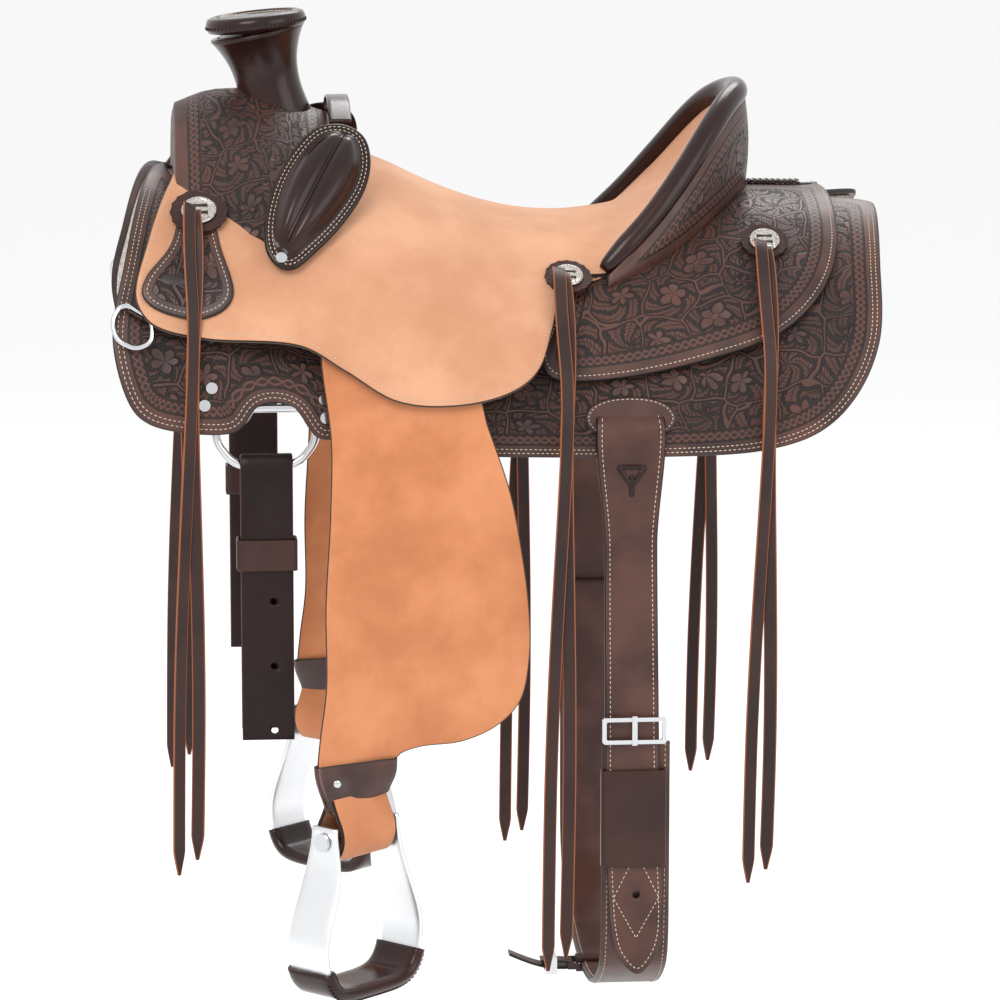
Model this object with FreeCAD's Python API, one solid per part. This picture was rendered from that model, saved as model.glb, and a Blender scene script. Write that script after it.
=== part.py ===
"""Western saddle: tree, leather, rigging, stirrups and flank set, one STEP file per piece.

Frame, in millimetres: +Z up, -X towards the horn, +X towards the cantle, -Y the near (left) side.
The mid-plane is Y = 0 and the origin is the middle of the horse's back under the seat.
Near pieces are modelled and the off pieces are their mirror images.
"""
import FreeCAD
import Part
import math
import os

V = FreeCAD.Vector

# ---------------------------------------------------------------- driving dimensions
GAP = 0.3                 # clearance between neighbouring pieces
BACK_Z = -125.0           # height of the centre of the back's arch
SKIRT_HALF = 225.0        # half width over the skirts at BACK_Z
SKIRT_T = 5.0             # skirt leather
FLEECE_T = 15.0           # fleece lining
BAR_T = 16.0              # tree bar at its crest
BAR_SIDE_T = 5.0          # how far the bar's arch grows sideways
CHANNEL_HALF = 38.0       # half width of the open channel over the spine
SEAT_T = 5.0              # seat and jockey leather
STRAINER_T = 2.0          # ground seat plate
JOCKEY_RISE = 19.0        # rear jockey's crest over the skirt's
JOCKEY_OUT = 6.0          # rear jockey's side over the skirt's
JOCKEY_T = 4.0            # rear jockey leather

FORK_HALF = 190.0         # half width of the fork at its foot
FORK_FOOT_Z = 60.0
FORK_TOP_Z = 218.0
FORK_COVER_T = 4.0
GULLET_R = 74.0           # gullet arch radius
GULLET_Z = 78.0           # gullet arch centre height
HORN_FOOT = V(-222, 0, 196)
HORN_TOP = V(-240, 0, 282)
HORN_NECK_R = 28.0
HORN_FLARE = 6.0          # how much the neck widens at its foot
HORN_CAP_R = 49.0
HORN_CAP_T = 16.0
HORN_WRAP_T = 4.0

ROLL_R = 12.0             # cantle roll section radius
CANTLE_BACK_T = 4.0

DEE_R = 50.0              # rigging dee half width
DEE_WIRE = 4.0            # dee wire radius
DEE_Y = -213.0
DEE_TOP_Z = -64.0
DEE_LOW_Z = -119.0
DEE_X = -240.0

LATIGO_W = 50.0
LATIGO_X = DEE_X          # middle of the strap hanging from the dee
BILLET_ROOM = 8.5         # slot beyond each edge of the flank billet
LATIGO_T = 4.0
LATIGO_LEN = 265.0
HOLE_R = 3.5
HOLE_PITCH = 63.0
HOLE_FIRST_Z = -249.0

FENDER_Y = -246.0         # inner face of the fender
FENDER_T = 4.2
LEATHER_W = 62.0
LEATHER_T = 4.0
NECK_W = 74.0
NECK_T = 5.2              # fender and leather together at the neck
HOBBLE_T = 3.5
NECK_X = -158.0
LIFT_Z = -70.0            # height of the line the fender lifts about, below the seat jockey
STIRRUP_TURN = 45.0       # degrees the stirrup is turned out about the vertical
BOLT_Z = -472.0
BOLT_R = 6.0
LOOP_R = 20.0             # outside radius of the leather loop round the bolt
STIRRUP_TOP_W = 92.0      # stirrup width at the bolt, outside the arms
STIRRUP_LOW_W = 140.0     # widest, outside the arms
STIRRUP_H = 165.0
STIRRUP_DEPTH = 50.0
STIRRUP_T = 5.0
TREAD_T = 4.0

BILLET_W = 50.0
BILLET_T = 4.5
BILLET_X = 108.0
BILLET_Y = -231.5         # outer face of the flank billet
CINCH_W = 66.0
CINCH_T = 6.0
CINCH_LOW_Z = -672.0      # middle of the cinch leather under the belly
STRING_W = 13.0
STRING_T = 2.0

CONCHO_R = {"front": 17.0, "mid": 14.5, "rear": 15.0}
ROSETTE_R = {"front": 28.0, "mid": 23.0, "rear": 23.5}
ROSETTE_T = 3.0
CONCHO_T = 2.0
SLOT_W = 14.0             # concho slot length, lets a string through
SLOT_H = 3.4

# crest heights of the horse's back under the skirts, and of the seat leather, by station X
BACK_CREST = [(-420, 165), (-340, 150), (-240, 128), (-130, 96), (0, 70), (120, 78), (230, 102),
              (300, 112), (400, 122)]
SEAT_CREST = [(-420, 172), (-300, 166), (-200, 165), (-133, 159), (-79, 130), (-20, 107), (40, 96),
              (90, 100), (140, 112)]
SEAT_HALF = [(-420, 237), (-300, 243), (-200, 262), (-133, 267), (-79, 268), (-20, 266), (40, 258),
             (90, 250), (140, 246)]

# dish of the cantle by station X: half width at the rim, rim height, centre height
DISH = [(88, 150, 61, 100), (127, 138, 91, 106), (168, 114, 142, 124), (198, 84, 184, 156),
        (216, 56, 205, 188), (228, 28, 214, 208)]

# fork by station X: crest height and half width
FORK = [(-318, 204, 162), (-290, 216, 172), (-235, FORK_TOP_Z, FORK_HALF), (-182, 196, 172)]


# ---------------------------------------------------------------- helpers
def lerp(table, x):
    """Value of a station table at x, straight between its rows."""
    for (x0, v0), (x1, v1) in zip(table, table[1:]):
        if x <= x1:
            return v0 + (v1 - v0) * (x - x0) / (x1 - x0)
    return table[-1][1]


def smooth(table, x, reach=30.0):
    """Station table at x, averaged over a short reach so that it has no corners."""
    return sum(lerp(table, x + reach * k / 3.0) for k in range(-3, 4)) / 7.0


def rounded(points, closed=True, share=0.45, report=None):
    """Wire of straight runs joined by tangent arcs, each as large as its two runs allow."""
    pts = [V(*p) for p in points]
    count = len(pts)
    corners = range(count) if closed else range(1, count - 1)
    cut = {}
    radii = []
    for k in corners:
        before, here, after = pts[k - 1], pts[k], pts[(k + 1) % count]
        a, b = here - before, after - here
        turn = a.getAngle(b)
        if turn < 0.01:
            continue
        reach = share * min(a.Length, b.Length)
        radii.append(reach / math.tan(turn / 2))
        u, w = (before - here).normalize(), (after - here).normalize()
        start, end = here + u * reach, here + w * reach
        bis = (u + w).normalize()
        middle = here + bis * (radii[-1] / math.cos(turn / 2) - radii[-1])
        cut[k] = (start, middle, end)
    if report:
        print(report, "arc radii", [round(r) for r in radii])
    edges = []
    spans = range(count) if closed else range(count - 1)
    for k in spans:
        nxt = (k + 1) % count
        start = cut[k][2] if k in cut else pts[k]
        end = cut[nxt][0] if nxt in cut else pts[nxt]
        edges.append(Part.LineSegment(start, end).toShape())
        if nxt in cut:
            edges.append(Part.Arc(*cut[nxt]).toShape())
    return Part.Wire(edges)


def side_prism(points, y0, y1, share=0.45):
    """Solid from y0 to y1, cut to a side-view outline of (x, z) points."""
    wire = rounded([(x, y0, z) for x, z in points], share=share)
    return Part.Face(wire).extrude(V(0, y1 - y0, 0))


def box(x0, x1, y0, y1, z0, z1):
    """Block between two corners."""
    return Part.makeBox(x1 - x0, y1 - y0, z1 - z0, V(x0, y0, z0))


def arch_wire(x, half, rise):
    """Closed half-ellipse across the saddle at station x, centred on BACK_Z."""
    steps = 18
    pts = []
    for k in range(steps + 1):
        t = math.pi * k / steps
        pts.append(V(x, -half * math.cos(t), BACK_Z + rise * math.sin(t)))
    curve = Part.BSplineCurve()
    curve.interpolate(pts)
    return Part.Wire([curve.toShape(), Part.LineSegment(pts[-1], pts[0]).toShape()])


STATIONS = [-410, -340, -270, -200, -130, -70, 0, 60, 130, 200, 270, 330, 390]


def back_arch(out, up):
    """The skirt's outer surface as a solid, grown sideways by out and upwards by up."""
    wires = [arch_wire(x, SKIRT_HALF + out, smooth(BACK_CREST, x) - BACK_Z + up) for x in STATIONS]
    return Part.makeLoft(wires, True)


def seat_arch(off):
    """The seat leather's outer surface as a solid, grown by off."""
    wires = [arch_wire(x, smooth(SEAT_HALF, x) + off, smooth(SEAT_CREST, x) - BACK_Z + off)
             for x in STATIONS if x <= 130]
    return Part.makeLoft(wires, True)


def arch_point(half, rise, z):
    """Near-side point's y and outward normal (y, z) of an arch at height z."""
    y = -half * math.sqrt(max(0.0, 1 - ((z - BACK_Z) / rise) ** 2))
    return y, (y / half ** 2, (z - BACK_Z) / rise ** 2)


def seat_frame(x, z, off):
    """Point and unit normal on the seat leather's near side, raised by off."""
    return frame_on(lambda s: (smooth(SEAT_HALF, s), smooth(SEAT_CREST, s) - BACK_Z), x, z, off)


def back_frame(out, up, x, z, off):
    """Point and unit normal on a grown back arch's near side, raised by off."""
    return frame_on(lambda s: (SKIRT_HALF + out, smooth(BACK_CREST, s) - BACK_Z + up), x, z, off)


def frame_on(arch, x, z, off):
    """Point and unit normal on an arch's near side at a station and height, raised by off."""
    y, (ny, nz) = arch_point(*arch(x), z)
    y_ahead, _ = arch_point(*arch(x + 5), z)
    y_behind, _ = arch_point(*arch(x - 5), z)
    nx = -ny * (y_ahead - y_behind) / 10.0
    normal = V(nx, ny, nz).normalize()
    return V(x, y, z) + normal * off, normal


def disc(centre, normal, radius, thick):
    """Round plate standing on a point."""
    return Part.makeCylinder(radius, thick, centre, normal)


def tube(points, radius, closed=False, report=None):
    """Round bar along straight runs and tangent arcs."""
    path = rounded(points, closed=closed, report=report)
    first = path.Edges[0]
    start = first.valueAt(first.FirstParameter)
    way = first.tangentAt(first.FirstParameter)
    ring = Part.Wire(Part.makeCircle(radius, start, way))
    solid = path.makePipeShell([ring], True, True)
    return solid


def band(path, thick, way):
    """Solid strap with its middle line on a flat path, thick across it and extruded along way."""
    sides = [path.makeOffset2D(side * thick / 2, 0, True, True).extrude(way) for side in (1, -1)]
    return sides[0].fuse(sides[1]).removeSplitter()


def strip(points, thick, x0, x1, report=None):
    """Flat strap whose middle line is given by (y, z) points, from x0 to x1 across its width."""
    path = rounded([(x0, y, z) for y, z in points], closed=False, report=report)
    return band(path, thick, V(x1 - x0, 0, 0))


def mirrored(shape):
    """The off side's twin of a near piece."""
    return shape.mirror(V(0, 0, 0), V(0, 1, 0))


def both(shape):
    """A near piece and its mirror image as one group."""
    return Part.makeCompound(list(shape.Solids) + list(mirrored(shape).Solids))


def group(shapes):
    """Several pieces as one node."""
    return Part.makeCompound([s for shape in shapes for s in shape.Solids])


def less(shape, *others):
    """Shape with the others cut away."""
    for other in others:
        shape = shape.cut(other)
    return shape


# ---------------------------------------------------------------- shared surfaces
skirt_out = back_arch(0, 0)
skirt_in = back_arch(-SKIRT_T, -SKIRT_T)
fleece_out = back_arch(-SKIRT_T - GAP, -SKIRT_T - GAP)
fleece_in = back_arch(-SKIRT_T - FLEECE_T, -SKIRT_T - FLEECE_T)
bar_in = back_arch(GAP, GAP)
bar_out = back_arch(BAR_SIDE_T, BAR_T)
bar_clear = back_arch(BAR_SIDE_T + GAP, BAR_T + GAP)
jockey_in = back_arch(JOCKEY_OUT, JOCKEY_RISE)
jockey_out = back_arch(JOCKEY_OUT + JOCKEY_T, JOCKEY_RISE + JOCKEY_T)
jockey_clear = back_arch(JOCKEY_OUT + JOCKEY_T + GAP, JOCKEY_RISE + JOCKEY_T + GAP)
seat_out = seat_arch(0)
seat_clear = seat_arch(GAP)
seat_in = seat_arch(-SEAT_T)


def fork_body(off, low=20.0):
    """Slick fork's outer surface as a solid, grown by off, across three stations."""
    wires = []
    for x, top, half in FORK:
        x += {FORK[0][0]: -off, FORK[-1][0]: off}.get(x, 0)
        pts = []
        for k in range(-12, 13):
            y = (half + off) * k / 12.0
            rise = (top - FORK_FOOT_Z) * (1 - abs(k / 12.0) ** 1.55)
            pts.append(V(x, y, FORK_FOOT_Z + rise + off))
        curve = Part.BSplineCurve()
        curve.interpolate(pts)
        a, b = V(x, half + off, low), V(x, -half - off, low)
        edges = [curve.toShape(), Part.LineSegment(pts[-1], a).toShape(), Part.LineSegment(a, b).toShape(),
                 Part.LineSegment(b, pts[0]).toShape()]
        wires.append(Part.Wire(edges))
    return Part.makeLoft(wires, True)


fork_wood = fork_body(0)
fork_cover_in = fork_body(GAP)
fork_cover_out = fork_body(GAP + FORK_COVER_T)
fork_clear = fork_body(2 * GAP + FORK_COVER_T)


def dish_above(off):
    """Everything above the cantle's dish, lowered by off."""
    wires = []
    for x, half, rim, middle in DISH:
        pts = []
        for k in range(-8, 9):
            y = (half + 14) * k / 8.0
            share = (abs(y) / half) ** 2.2
            pts.append(V(x, y, middle + (rim - middle) * share - off))
        curve = Part.BSplineCurve()
        curve.interpolate(pts)
        a, b = V(x, half + 14, 330), V(x, -half - 14, 330)
        edges = [curve.toShape(), Part.LineSegment(pts[-1], a).toShape(), Part.LineSegment(a, b).toShape(),
                 Part.LineSegment(b, pts[0]).toShape()]
        wires.append(Part.Wire(edges))
    return Part.makeLoft(wires, True)


RIM_PATH = [(x, -half, rim + 1) for x, half, rim, _ in DISH[:-1]] + [(233, -20, 217), (233, 20, 217)]
RIM_PATH += [(x, half, rim + 1) for x, half, rim, _ in reversed(DISH[:-1])]


def cantle_plan(off, x0=96.0, low=20.0):
    """Upright solid inside the cantle's horseshoe plan, grown by off."""
    near = [(x0, -148 - off), (127, -137 - off), (168 + off * 0.4, -114 - off),
            (200 + off * 0.7, -84 - off * 0.8),
            (226 + off, -44 - off * 0.5)]
    far = [(x, -y) for x, y in reversed(near)]
    wire = rounded([(x, y, low) for x, y in near + far], share=0.4)
    return Part.Face(wire).extrude(V(0, 0, 240 - low))


# ---------------------------------------------------------------- tree
def make_bar():
    plan = [(-312, -60), (-300, -148), (-200, -150), (-90, -112), (40, -112), (140, -150), (215, -148),
            (232, -60),
            (140, -CHANNEL_HALF - 4), (-200, -CHANNEL_HALF - 4)]
    pad = Part.Face(rounded([(x, y, -60) for x, y in plan], share=0.35)).extrude(V(0, 0, 400))
    return bar_out.cut(bar_in).common(pad)


def make_fork():
    gullet = Part.makeCylinder(GULLET_R, 200, V(-330, 0, GULLET_Z), V(1, 0, 0))
    gullet = gullet.fuse(box(-330, -130, -GULLET_R, GULLET_R, -20, GULLET_Z))
    slots = [box(-214, -100, y0, y1, -100, 126) for y0, y1 in ((-300, -60), (60, 300))]
    return biggest(less(fork_wood, bar_clear, gullet, *slots))


def make_fork_cover():
    outline = [(-340, 260), (-334, 200), (-312, 150), (-296, 108), (-262, 66), (-238, 72), (-190, 120),
               (-160, 150),
               (-160, 260)]
    shell = fork_cover_out.cut(fork_cover_in).common(side_prism(outline, -230, 230, share=0.3))
    axis = (HORN_TOP - HORN_FOOT).normalize()
    hole = Part.makeCylinder(HORN_NECK_R + HORN_FLARE + 1.5, 90, HORN_FOOT - axis * 30, axis)
    beds = [disc(point - normal * GAP, normal, ROSETTE_R["front"] + 1, 40) for point,
            normal in front_seats()]
    return biggest(less(shell, seat_clear, hole, *beds))


def front_seats():
    """Where the front rosettes rest, near and off."""
    point, normal = concho_spots()["front"]
    return [(point, normal), (V(point.x, -point.y, point.z), V(normal.x, -normal.y, normal.z))]


def horn_profile(off):
    """Trumpet-shaped neck turned about the horn's axis, grown by off."""
    heights = (-8, 10, 28, 48, 68, 84)
    radii = (HORN_NECK_R + HORN_FLARE, HORN_NECK_R + 2.5, HORN_NECK_R, HORN_NECK_R + 1, HORN_NECK_R + 8,
             HORN_NECK_R + 16)
    pts = [V(r + off, 0, h) for r, h in zip(radii, heights)]
    curve = Part.BSplineCurve()
    curve.interpolate(pts)
    foot, top = V(0, 0, heights[0]), V(0, 0, heights[-1])
    edges = [curve.toShape(), Part.LineSegment(pts[-1], top).toShape(),
             Part.LineSegment(top, foot).toShape(),
             Part.LineSegment(foot, pts[0]).toShape()]
    solid = Part.Face(Part.Wire(edges)).revolve(V(0, 0, 0), V(0, 0, 1), 360)
    axis = HORN_TOP - HORN_FOOT
    turn = FreeCAD.Rotation(V(0, 0, 1), axis)
    solid.Placement = FreeCAD.Placement(HORN_FOOT, turn)
    return solid


def make_horn_core():
    return biggest(horn_profile(-HORN_WRAP_T - GAP).cut(fork_body(GAP)))


def make_horn_wrap():
    shell = horn_profile(0).cut(horn_profile(-HORN_WRAP_T))
    return less(shell, fork_body(GAP))


def make_horn_cap():
    axis = V(-0.105, 0, 0.9945)
    base = HORN_FOOT + (HORN_TOP - HORN_FOOT).normalize() * (84 + GAP)
    cap = Part.makeCylinder(HORN_CAP_R, HORN_CAP_T, base, axis)
    edges = [e for e in cap.Edges if isinstance(e.Curve, Part.Circle)]
    cap = cap.makeFillet(6.0, edges)
    return cap.cut(horn_profile(GAP))


def make_cantle_board():
    solid = cantle_plan(-GAP).cut(dish_above(SEAT_T + GAP)).cut(box(0, 120, -200, 200, 0, 300))
    solid = less(solid, jockey_clear, seat_arch(-SEAT_T - STRAINER_T - 2 * GAP), cantle_roll_clear)
    return biggest(solid)


def make_cantle_back():
    wall = cantle_plan(CANTLE_BACK_T).cut(cantle_plan(0))
    wall = less(wall, jockey_clear, cantle_roll_clear, dish_above(2.0), seat_clear)
    return biggest(wall)


def biggest(shape):
    """Largest solid of a cut, without its offcuts."""
    return max(shape.Solids, key=lambda s: s.Volume)


def make_strainer():
    shell = seat_arch(-SEAT_T - GAP).cut(seat_arch(-SEAT_T - GAP - STRAINER_T))
    shell = shell.common(box(-160, 86, -118, 118, 0, 300))
    return less(shell, fork_clear)


# ---------------------------------------------------------------- leather on the tree
SEAT_OUTLINE = [(-330, 240), (-328, 140), (-352, 88), (-362, 40), (-338, 14), (-296, 4), (-206, -2),
                (-166, -24),
                (-118, -54), (-60, -58), (-8, -46), (22, -26), (36, 10), (46, 44), (88, 62), (88, 240)]


def make_seat():
    front = seat_out.cut(seat_in).common(side_prism(SEAT_OUTLINE, -300, 300, share=0.4))
    front = less(front, fork_clear, gullet_gap())
    dish = dish_above(0.0)
    pan = dish_above(SEAT_T).cut(dish)
    pan = pan.common(cantle_plan(-ROLL_R * 0.4, x0=87.9))
    pan = less(pan, cantle_roll_clear, box(60, 88.0, -200, 200, 0, 300))
    return biggest(less(front.fuse(pan), cantle_roll_clear))


def gullet_gap():
    """Open space over the withers in front of the rider."""
    arch = Part.makeCylinder(GULLET_R + 12, 120, V(-420, 0, GULLET_Z), V(1, 0, 0))
    return arch.fuse(box(-420, -300, -GULLET_R - 12, GULLET_R + 12, -60, GULLET_Z)).fuse(
        box(-420, -260, -95, 95, -60, 300))


SKIRT_OUTLINE = [(-318, 240), (-336, 150), (-372, 70), (-384, 0), (-366, -62), (-312, -86), (-270, -86),
                 (-248, -62),
                 (-212, -64), (-190, -94), (-140, -90), (-60, -110), (120, -114), (236, -110), (310,
                                                                                                -82),
                                                                                                (350, -10),
                 (356, 60), (364, 118), (364, 240)]


def make_skirt():
    shell = skirt_out.cut(skirt_in).common(side_prism(SKIRT_OUTLINE, -260, -0.5))
    shell = less(shell, box(-420, 190, -CHANNEL_HALF, 0, -100, 300))
    slot = box(BILLET_X - BILLET_W / 2 - BILLET_ROOM, BILLET_X + BILLET_W / 2 + BILLET_ROOM, -240, -190, -92, -62)
    return less(shell, slot, dee_path_clear, *rivet_shanks(GAP))


def make_fleece():
    inset = [(x * 0.985, z + (4 if z < 0 else -4)) for x, z in SKIRT_OUTLINE]
    shell = fleece_out.cut(fleece_in).common(side_prism(inset, -260, -0.8))
    shell = less(shell, box(-420, 190, -CHANNEL_HALF - 2, 0, -100, 300))
    slot = box(BILLET_X - BILLET_W / 2 - BILLET_ROOM, BILLET_X + BILLET_W / 2 + BILLET_ROOM, -240, -170, -97, -56)
    return less(shell, dee_path_clear, slot, *rivet_shanks(GAP))


JOCKEY_OUTLINE = [(64, 240), (60, 64), (34, 10), (20, -28), (50, -42), (180, -24), (250, -2), (300, 38),
                  (320, 84),
                  (310, 130), (300, 240)]


def make_rear_jockey():
    shell = jockey_out.cut(jockey_in).common(side_prism(JOCKEY_OUTLINE, -260, -0.5))
    seat_wall = seat_clear.cut(seat_arch(-SEAT_T - GAP)).common(box(-500, 88.3, -300, 300, -200, 300))
    cut_out = cantle_plan(CANTLE_BACK_T + GAP, low=-60.0)
    return biggest(less(shell, seat_wall, cut_out, box(-10, 100, -146, 0, 20, 240)))


def make_jockey_lacing():
    loops = []
    for k in range(9):
        x = 252 + 6.2 * k
        crest = smooth(BACK_CREST, x) + JOCKEY_RISE + JOCKEY_T + GAP
        loops.append(Part.makeCylinder(2.6, 14, V(x, -7, crest + 3.0), V(0, 1, 0)))
    return group(loops)


def bucking_frame():
    """Local frame of the near bucking roll: along, across and outward unit vectors and its middle."""
    low, high = V(-226, -200, 72), V(-150, -104, 196)
    along = (high - low).normalize()
    out = V(0.10, -0.78, 0.62)
    out = (out - along * out.dot(along)).normalize()
    across = out.cross(along)
    return (low + high) * 0.5, along, across, out


def place(shape):
    """Moves a shape from the bucking roll's own frame to the fork."""
    middle, along, across, out = bucking_frame()
    m = FreeCAD.Matrix(along.x, across.x, out.x, middle.x, along.y, across.y, out.y, middle.y,
                       along.z, across.z, out.z, middle.z, 0, 0, 0, 1)
    return shape.transformGeometry(m)


ROLL_HALF_L = 92.0
ROLL_HALF_W = 50.0
ROLL_CROWN = 22.0


def make_bucking_roll():
    rim = [(-ROLL_HALF_L, 0), (-60, 40), (0, ROLL_HALF_W), (60, 42), (ROLL_HALF_L, 10),
           (ROLL_HALF_L - 8, -30),
           (30, -ROLL_HALF_W), (-40, -40), (-ROLL_HALF_L + 6, -14)]
    flange = Part.Face(rounded([(x, y, 0) for x, y in rim])).extrude(V(0, 0, 5))
    ball = Part.makeSphere(1.0)
    m = FreeCAD.Matrix()
    m.scale(76, 38, ROLL_CROWN)
    dome = ball.transformGeometry(m).common(box(-200, 200, -200, 200, 2, 60))
    pad = place(flange.fuse(dome).removeSplitter())
    return biggest(less(pad, seat_clear, fork_clear))


def make_roll_strap():
    pts = [(-70, 192), (-46, 205), (-16, 211), (16, 211), (46, 205), (70, 192)]
    strap = strip(pts, 3.0, -172, -150)
    return less(strap, fork_clear, seat_clear, bucking_near, mirrored(bucking_near))


def make_roll_screws():
    middle, along, across, out = bucking_frame()
    spot = middle - along * (ROLL_HALF_L - 9) + out * 5.2
    head = disc(spot, out, 5.5, 2.2)
    return both(head)


# ---------------------------------------------------------------- rigging
def dee_points():
    """Corners of the rigging dee's middle line."""
    z_mid = DEE_LOW_Z + 26
    return [(DEE_X - DEE_R + 8, DEE_Y, DEE_TOP_Z), (DEE_X - DEE_R, DEE_Y, z_mid),
            (DEE_X - 30, DEE_Y, DEE_LOW_Z),
            (DEE_X + 30, DEE_Y, DEE_LOW_Z), (DEE_X + DEE_R, DEE_Y, z_mid), (DEE_X + DEE_R - 8, DEE_Y,
                                                                            DEE_TOP_Z)]


def dee_ring(radius):
    """Rigging dee bent from round bar."""
    path = rounded(dee_points(), closed=True, share=0.42)
    first = path.Edges[0]
    start = first.valueAt(first.FirstParameter)
    ring = Part.Wire(Part.makeCircle(radius, start, first.tangentAt(first.FirstParameter)))
    return path.makePipeShell([ring], True, True)


RIVET_SPOTS = [(-291, -44), (-298, -60), (-184, -56), (-183, -73)]


def rivet_shanks(extra):
    """Room for the rigging rivets' shanks, grown by extra."""
    pins = []
    for x, z in RIVET_SPOTS:
        point, normal = back_frame(0, 0, x, z, 0.0)
        pins.append(disc(point - normal * 12, normal, 2.5 + extra, 20))
    return pins


def make_rivets():
    rivets = []
    for x, z in RIVET_SPOTS:
        point, normal = back_frame(0, 0, x, z, 0.0)
        shank = disc(point - normal * SKIRT_T, normal, 2.5, SKIRT_T + 1)
        rivets.append(shank.fuse(disc(point + normal * GAP, normal, 5.5, 2.0)))
    return both(group(rivets))


BREAST_BAR_X = (-374.0, -346.0)     # ends of the breast dee's straight bar
BREAST_BAR_Z = (36.0, 20.0)
BREAST_WIRE = 2.5
BREAST_Y = -193.0                   # at the bar's upper end
BREAST_LEAN = 0.49                  # how far the ring leans out per millimetre down


def breast_point(x, z):
    """Point of the breast dee's leaning plane."""
    return V(x, BREAST_Y - (BREAST_BAR_Z[0] - z) * BREAST_LEAN, z)


def breast_ring(radius):
    """Small dee at the front of the skirt, in a plane that leans with the skirt."""
    (x0, x1), (z0, z1) = BREAST_BAR_X, BREAST_BAR_Z
    pts = [(x0, z0), (x0 - 11, z0 - 16), (x0 - 6, z0 - 34), (x1 - 16, z1 - 26), (x1 - 1, z1 - 20), (x1, z1)]
    path = rounded([breast_point(x, z) for x, z in pts], closed=True, share=0.42)
    first = path.Edges[0]
    start = first.valueAt(first.FirstParameter)
    ring = Part.Wire(Part.makeCircle(radius, start, first.tangentAt(first.FirstParameter)))
    return path.makePipeShell([ring], True, True)


def make_breast_tabs():
    """Leather loops that hold the breast dees' bars against the skirts."""
    ends = [breast_point(x, z) for x, z in zip(BREAST_BAR_X, BREAST_BAR_Z)]
    along = (ends[1] - ends[0]).normalize()
    down = breast_point(0, 0) - breast_point(0, 1)
    up = (V(0, 0, 0) - down + along * along.dot(down)).normalize()
    out = along.cross(up)
    r = BREAST_WIRE + GAP + 1.0
    loop = strip([(r, 22), (r, -1), (r, -r - 0.6), (-r, -r - 0.6), (-r, -1), (-r, 22)], 2.0, -8, 8)
    middle = (ends[0] + ends[1]) * 0.5
    m = FreeCAD.Matrix(along.x, out.x, up.x, middle.x, along.y, out.y, up.y, middle.y,
                       along.z, out.z, up.z, middle.z, 0, 0, 0, 1)
    return both(less(loop.transformGeometry(m), skirt_out, seat_clear.cut(seat_arch(-SEAT_T - GAP))))


HOLDER_OUTLINE = [(-296, 128), (-312, 128), (-326, 86), (-356, 54), (-352, 34), (-300, 20), (-268, 40),
                  (-284, 86)]


def make_latigo_holder():
    shell = seat_arch(GAP + 3.5).cut(seat_clear).common(side_prism(HOLDER_OUTLINE, -280, -20))
    slot = side_prism([(-334, 60), (-334, 53), (-296, 51), (-296, 58)], -280, -20, share=0.3)
    return biggest(less(shell, slot, fork_clear))


def concho_spots():
    """Point, normal and sizes of each near concho's rosette seat."""
    front = seat_frame(-300, 112, 3.5 + 2 * GAP + 0.5)
    mid = seat_frame(53, 50, 2 * GAP + 0.4)
    rear = back_frame(JOCKEY_OUT + JOCKEY_T, JOCKEY_RISE + JOCKEY_T, 246, 76, 2 * GAP + 0.4)
    return {"front": front, "mid": mid, "rear": rear}


def slots_at(point, normal):
    """Two string slots through a concho and its rosette."""
    across = V(1, 0, 0) - normal * normal.x
    across.normalize()
    up = normal.cross(across)
    cuts = []
    for side in (-1, 1):
        middle = point + up * (side * 4.0)
        slab = Part.makeBox(SLOT_W, SLOT_H, 12, V(-SLOT_W / 2, -SLOT_H / 2, -4))
        m = FreeCAD.Matrix(across.x, up.x, normal.x, middle.x, across.y, up.y, normal.y, middle.y,
                           across.z, up.z, normal.z, middle.z, 0, 0, 0, 1)
        cuts.append(slab.transformGeometry(m))
    return cuts


def make_rosettes():
    discs = []
    for name, (point, normal) in concho_spots().items():
        discs.append(less(disc(point, normal, ROSETTE_R[name], ROSETTE_T), *slots_at(point, normal)))
    return both(group(discs))


def make_conchos():
    discs = []
    for name, (point, normal) in concho_spots().items():
        seat = point + normal * (ROSETTE_T + GAP)
        discs.append(less(disc(seat, normal, CONCHO_R[name], CONCHO_T), *slots_at(seat, normal)))
    return both(group(discs))


# ---------------------------------------------------------------- saddle strings
# each route is (y, z) points of one tail's middle line from the concho down to its tip
STRING_ROUTES = {
    "front_a": [(-147, 124), (-163, 124), (-184, 100), (-204, 66), (-220, 26), (-228, -24), (-231, -90),
                (-231.6, -180),
                (-230.6, -280), (-231.4, -390), (-231, -514)],
    "front_b": [(-154, 118), (-166, 115), (-182, 90), (-200, 58), (-217.3, 20), (-224.2, -26), (-227, -90),
                (-227.6, -180), (-226.6, -280), (-227.4, -390), (-227, -500)],
    "mid_a": [(-160, 60.5), (-177, 58.5), (-200, 32), (-224, 0), (-243, -40), (-255, -90), (-261, -150),
              (-262, -240),
              (-261.2, -350), (-262, -470), (-261.6, -608)],
    "mid_b": [(-166, 55), (-180, 50), (-200, 22), (-222, -10), (-240, -48), (-251, -94), (-257, -150),
              (-258, -240),
              (-257.2, -350), (-258, -470), (-257.6, -596)],
    "rear_a": [(-148, 84), (-162, 83), (-184, 60), (-209, 22), (-228, -20), (-237, -70), (-240, -130),
               (-240.6, -220),
               (-239.8, -320), (-240.5, -420), (-240, -530)],
    "rear_b": [(-155, 78), (-164, 75), (-183, 50), (-205, 13), (-223, -26), (-232.6, -74), (-236, -130),
               (-236.6, -220), (-235.8, -320), (-236.5, -420), (-236, -518)],
}
STRING_X = {"front": -309.0, "mid": 44.0, "rear": 240.0}


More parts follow.
